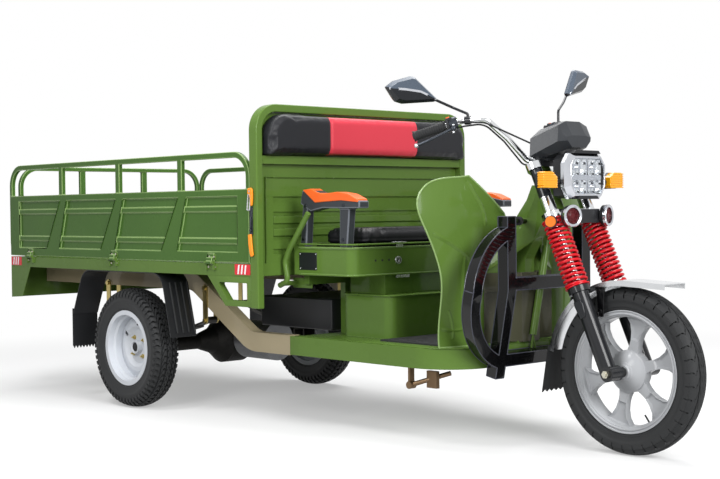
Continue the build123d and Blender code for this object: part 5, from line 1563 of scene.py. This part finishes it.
# %% [markdown]
# ## Splash panel and guard braces
# Between the guard's posts a flat splash panel closes the gap ahead of the driver's feet, with a
# tunnel in its middle for the steering neck. It is a bent plan pushed upwards, with two stiffening
# bars. A short brace runs from each post to the hood, in a rubber collar.

# %% Splash panel
PANEL_FOOT, PANEL_TALL, PANEL_HALF = 0.3725, 0.2595, 0.196
front_x = corners_of("leg_shields")[1].x
tunnel_x = front_x + 0.0586
panel = bmesh.new()
back, face = front_x + 0.0006, front_x + 0.0022
plan = [(back, -PANEL_HALF), (back, -0.082), (tunnel_x, -0.05), (tunnel_x, 0.05), (back, 0.082),
        (back, PANEL_HALF), (face, PANEL_HALF), (face, 0.083), (tunnel_x + 0.0016, 0.051),
        (tunnel_x + 0.0016, -0.051), (face, -0.083), (face, -PANEL_HALF)]
slab(panel, [(x, y, PANEL_FOOT) for x, y in plan], (0, 0, PANEL_TALL))
for z in (PANEL_FOOT, 0.560):
    for y0, y1 in ((-PANEL_HALF, -0.083), (0.083, PANEL_HALF)):
        brick(panel, (back, y0, z), (front_x + 0.0060, y1, z + 0.012))
# The panel's olive grey is painted shade and reflection on green enamel.
finish_piece("splash_panel", panel, [olive_painted_shade_enamel], "chassis", "green_paint", bevel=0.0008)

# %% Brace from the guard to the hood
brace, knob = bmesh.new(), bmesh.new()
post = corners_of("bumper_guard")[1]
pillar(brace, (post.x - 0.030, -0.176, 0.826), (post.x - 0.078, -0.050, 0.822), 0.0095, segments=20)
pillar(knob, (post.x - 0.050, -0.122, 0.8245), (post.x - 0.0555, -0.107, 0.8240), 0.0165, 0.0165)
pillar(knob, (post.x - 0.0555, -0.107, 0.8240), (post.x - 0.059, -0.098, 0.8237), 0.0165, 0.011)
mirrored(brace)
mirrored(knob)
finish_piece("guard_braces", brace, [black_enamel], "chassis", "black_paint")
finish_piece("guard_brace_collars", knob, [soft_rubber], "chassis", "black_rubber", bevel=0.001)

# %% [markdown]
# ## Mudguard stays and pads on the fork
# A pressed stay bolts the front mudguard to each slider. Higher up, each slider carries a small
# raised pad with cut corners, which is left bare here.

# %% Mudguard stay and bare pad on the fork
stays, pads = bmesh.new(), bmesh.new()
side = 0.0642
slab(stays, [(1.4185, -side, 0.590), (1.4630, -side, 0.592), (1.4560, -side, 0.560),
             (1.4535, -side, 0.486), (1.4300, -side, 0.484), (1.4270, -side, 0.556)],
     (0, -0.0045, 0))
for x, z in ((1.4400, 0.574), (1.4410, 0.505)):
    pillar(stays, (x, -side - 0.003, z), (x, -side - 0.0085, z), 0.0085, segments=6)
brick(stays, (1.4180, -0.086, 0.486), (1.4440, -side, 0.504))
pad_shape = [(-0.019, 0.262), (-0.013, 0.214), (0.013, 0.214), (0.019, 0.262), (0.016, 0.278),
             (-0.016, 0.278)]
slab(pads, [(x, 0.026, z) for x, z in pad_shape], (0, 0.0085, 0))
place_by(pads, fork @ Matrix.Translation(leg))
mirrored(stays)
mirrored(pads)
finish_piece("mudguard_stays", stays, [black_enamel], "steering", "slider_black", bevel=0.0015)
finish_piece("fork_badge_pads", pads, [gloss_black_abs], "steering", "slider_black", bevel=0.003)

# %% [markdown]
# ## Hinges and their bolts
# Each board hangs on three hinges. A hinge is two leaves round one pin, bolted above and below the
# gap. The upper leaf is a piece of its own, because it swings with the board.

# %% Hinge leaves
HINGE_SHARES = (0.104, 0.490, 0.869)
leaves, pins = bmesh.new(), bmesh.new()
hinge_stations = [bed_low.x + share * (bed_high.x - bed_low.x) for share in HINGE_SHARES]
y = bed_low.y
for x in hinge_stations:
    brick(leaves, (x - 0.031, y - 0.0018, 0.634), (x + 0.031, y + 0.001, 0.657))
    for dx in (-0.021, 0.021):
        pillar(pins, (x + dx, y, 0.6455), (x + dx, y - 0.0062, 0.6455), 0.0052, segments=6)
mirrored(leaves)
mirrored(pins)
finish_piece("beam_hinge_leaves", leaves, [green_enamel], "chassis", "green_paint", bevel=0.0008)
finish_piece("beam_hinge_bolts", pins, [zinc_plate], "chassis", "zinc", bevel=0.0004)
for side, sign in (("right", -1), ("left", 1)):
    leaf, bolts = bmesh.new(), bmesh.new()
    skin = sign * (bed_high.y - 0.002)
    for x in hinge_stations:
        brick(leaf, (x - 0.024, min(skin, skin + sign * 0.0035), 0.6735),
              (x + 0.024, max(skin, skin + sign * 0.0035), 0.6975))
        for dx in (-0.015, 0.015):
            pillar(bolts, (x + dx, skin, 0.6865), (x + dx, skin + sign * 0.0078, 0.6865), 0.0050,
                   segments=6)
    finish_piece(f"board_hinge_leaves_{side}", leaf, [green_enamel], f"side_board_{side}",
                 "green_paint", bevel=0.0008)
    finish_piece(f"board_hinge_bolts_{side}", bolts, [zinc_plate], f"side_board_{side}", "zinc",
                 bevel=0.0004)

# %% [markdown]
# ## Rear mudguards
# The mudguard liners are vacuum-formed sheet with upright ribs, and the flaps behind the wheels
# end in teeth, which shed the water.

# %% Ribs and teeth of the mudguards
RIBS, RIB_PITCH, TEETH = 4, 0.030, 8
liner_high = corners_of("rear_mudguards")[1]
shape = bmesh.new()
edge = liner_high.y - 0.0135
foot, head = Vector((-0.4225, 0, 0.352)), Vector((-0.4790, 0, 0.568))
ahead = Vector((0.970, 0, 0.241))
for k in range(RIBS):
    y = -edge + 0.017 + RIB_PITCH * k
    start = foot + ahead * 0.0015 + Vector((0.0, y, 0.0))
    end = head + ahead * 0.0015 + Vector((0.0, y, 0.0))
    verts = slab(shape, [start, start + Vector((0, 0.012, 0)), end + Vector((0, 0.012, 0)), end],
                 ahead * 0.0042)
    for corner in verts[4:]:
        corner.co.y += 0.003 if corner.co.y < y + 0.006 else -0.003
back = Vector((-1.2220, 0, 0.250))
width = liner_high.y - 0.4615
for k in range(TEETH):
    y = -liner_high.y + width * k / TEETH
    slab(shape, [(back.x, y, back.z + 0.002), (back.x, y + width / TEETH, back.z + 0.002),
                 (back.x, y + width / (2 * TEETH), back.z - 0.013)], (0.004, 0, 0))
for z in (0.300, 0.330, 0.360):
    brick(shape, (back.x - 0.0022, -liner_high.y + 0.012, z), (back.x + 0.001, -0.4735, z + 0.007))
mirrored(shape)
finish_piece("mudguard_ribs_and_teeth", shape, [soft_rubber], "chassis", "black_rubber",
             bevel=0.0008)

# %% [markdown]
# ## Floor mat and bed floor
# The mat is moulded rubber with ribs that run across the footwell. The bed floor has long pressed
# ribs, so that the load slides easily. Their sides slope, as a press tool leaves them.

# %% Mat and floor ribs
MAT_PITCH = 0.018
mat_low, mat_high = corners_of("floor_mat")
ribs = bmesh.new()
count = int((mat_high.x - mat_low.x - 0.04) / MAT_PITCH)
for k in range(count):
    x = mat_low.x + 0.024 + MAT_PITCH * k
    brick(ribs, (x, mat_low.y + 0.02, mat_high.z - 0.001),
          (x + 0.008, mat_high.y - 0.02, mat_high.z + 0.0022))
for y in (mat_low.y + 0.008, mat_high.y - 0.014):
    brick(ribs, (mat_low.x + 0.008, y, mat_high.z - 0.001),
          (mat_high.x - 0.008, y + 0.006, mat_high.z + 0.0022))
finish_piece("mat_ribs", ribs, [ribbed_mat], "chassis", "mat_rubber", bevel=0.0008)

floor_low, floor_high = corners_of("bed_floor")
ribs = bmesh.new()
for k in range(9):
    y = -0.48 + 0.12 * k
    start, end, z = floor_low.x + 0.05, floor_high.x - 0.05, floor_high.z - 0.0005
    foot = [(start, y - 0.016, z), (end, y - 0.016, z), (end, y + 0.016, z), (start, y + 0.016, z)]
    verts = slab(ribs, foot, (0, 0, 0.0042))
    for corner in verts[4:]:
        corner.co.y += 0.007 if corner.co.y < y else -0.007
        corner.co.x += 0.007 if corner.co.x < 0 else -0.007
finish_piece("bed_floor_ribs", ribs, [green_enamel], "chassis", "green_paint", bevel=0.0012)

# %% [markdown]
# ## Tail lamps
# Each tail lamp is three lenses side by side, with level ribs that spread the light: orange
# outside, red for tail and brake, and frosted for reversing. Its housing is black plastic.

# %% Tail lamps
lamp_low, lamp_high = corners_of("tail_lights")
lenses = {"red": bmesh.new(), "orange": bmesh.new(), "clear": bmesh.new()}
for start, end, colour in ((0.342, 0.398, "clear"), (0.400, 0.460, "red"),
                           (0.462, 0.518, "orange")):
    shape = lenses[colour]
    brick(shape, (lamp_low.x - 0.0045, -end, lamp_low.z + 0.004),
          (lamp_low.x + 0.002, -start, lamp_high.z - 0.004))
    for k in range(5):
        z = lamp_low.z + 0.010 + 0.011 * k
        brick(shape, (lamp_low.x - 0.0062, -end + 0.003, z),
              (lamp_low.x - 0.004, -start - 0.003, z + 0.005))
    mirrored(shape)
for colour, coat, slot in (("red", red_acrylic, "lamp_red"),
                           ("orange", amber_acrylic, "lens_orange"),
                           ("clear", pale_acrylic, "lens_clear")):
    finish_piece(f"tail_lamp_{colour}", lenses[colour], [coat], "chassis", slot, bevel=0.001)

# %% [markdown]
# ## Finishes that differ from their slot
# A few CAD nodes share a slot with others but look different on the real thing: the tail lamp's
# housing, the pod, the brake pedal and the spring shackles. They keep their mesh and change coat.

# %% Own finishes
nodes["tail_lights"].data.materials[0] = black_abs
nodes["instrument_pod"].data.materials[0] = pod_abs
nodes["brake_pedal"].data.materials[0] = oiled_steel
nodes["spring_shackles"].data.materials[0] = gold_zinc
print("own finishes: tail lights, pod, pedal, shackles")

# %% [markdown]
# ## Dash
# The pod's rear face holds the rider's display: a gloss window in a raised frame, with three pilot
# lamps above it. It shows nothing while the vehicle stands.

# %% Dash display
base = fork @ Vector((0, 0, 0.812))
frame_shape, window, pilots = bmesh.new(), bmesh.new(), bmesh.new()
outer = [(-0.082, 0.030), (0.082, 0.030), (0.098, 0.048), (0.094, 0.084), (0.062, 0.106),
         (-0.062, 0.106), (-0.094, 0.084), (-0.098, 0.048)]
rear = base.x - 0.012
slab(frame_shape, [(rear + 0.001, y, base.z + z) for y, z in outer], (-0.005, 0, 0))
slab(window, [(rear - 0.0035, y * 0.86, base.z + 0.066 + (z - 0.068) * 0.74) for y, z in outer],
     (-0.0016, 0, 0))
for y in (-0.02, 0, 0.02):
    pillar(pilots, (rear - 0.003, y, base.z + 0.0995), (rear - 0.0062, y, base.z + 0.0995), 0.0034,
           segments=14)
finish_piece("dash_frame", frame_shape, [black_abs], "steering", "black_plastic", bevel=0.002)
finish_piece("dash_window", window, [gloss_black_abs], "steering", "black_plastic")
finish_piece("dash_pilot_lamps", pilots, [orange_lens], "steering", "lens_orange")
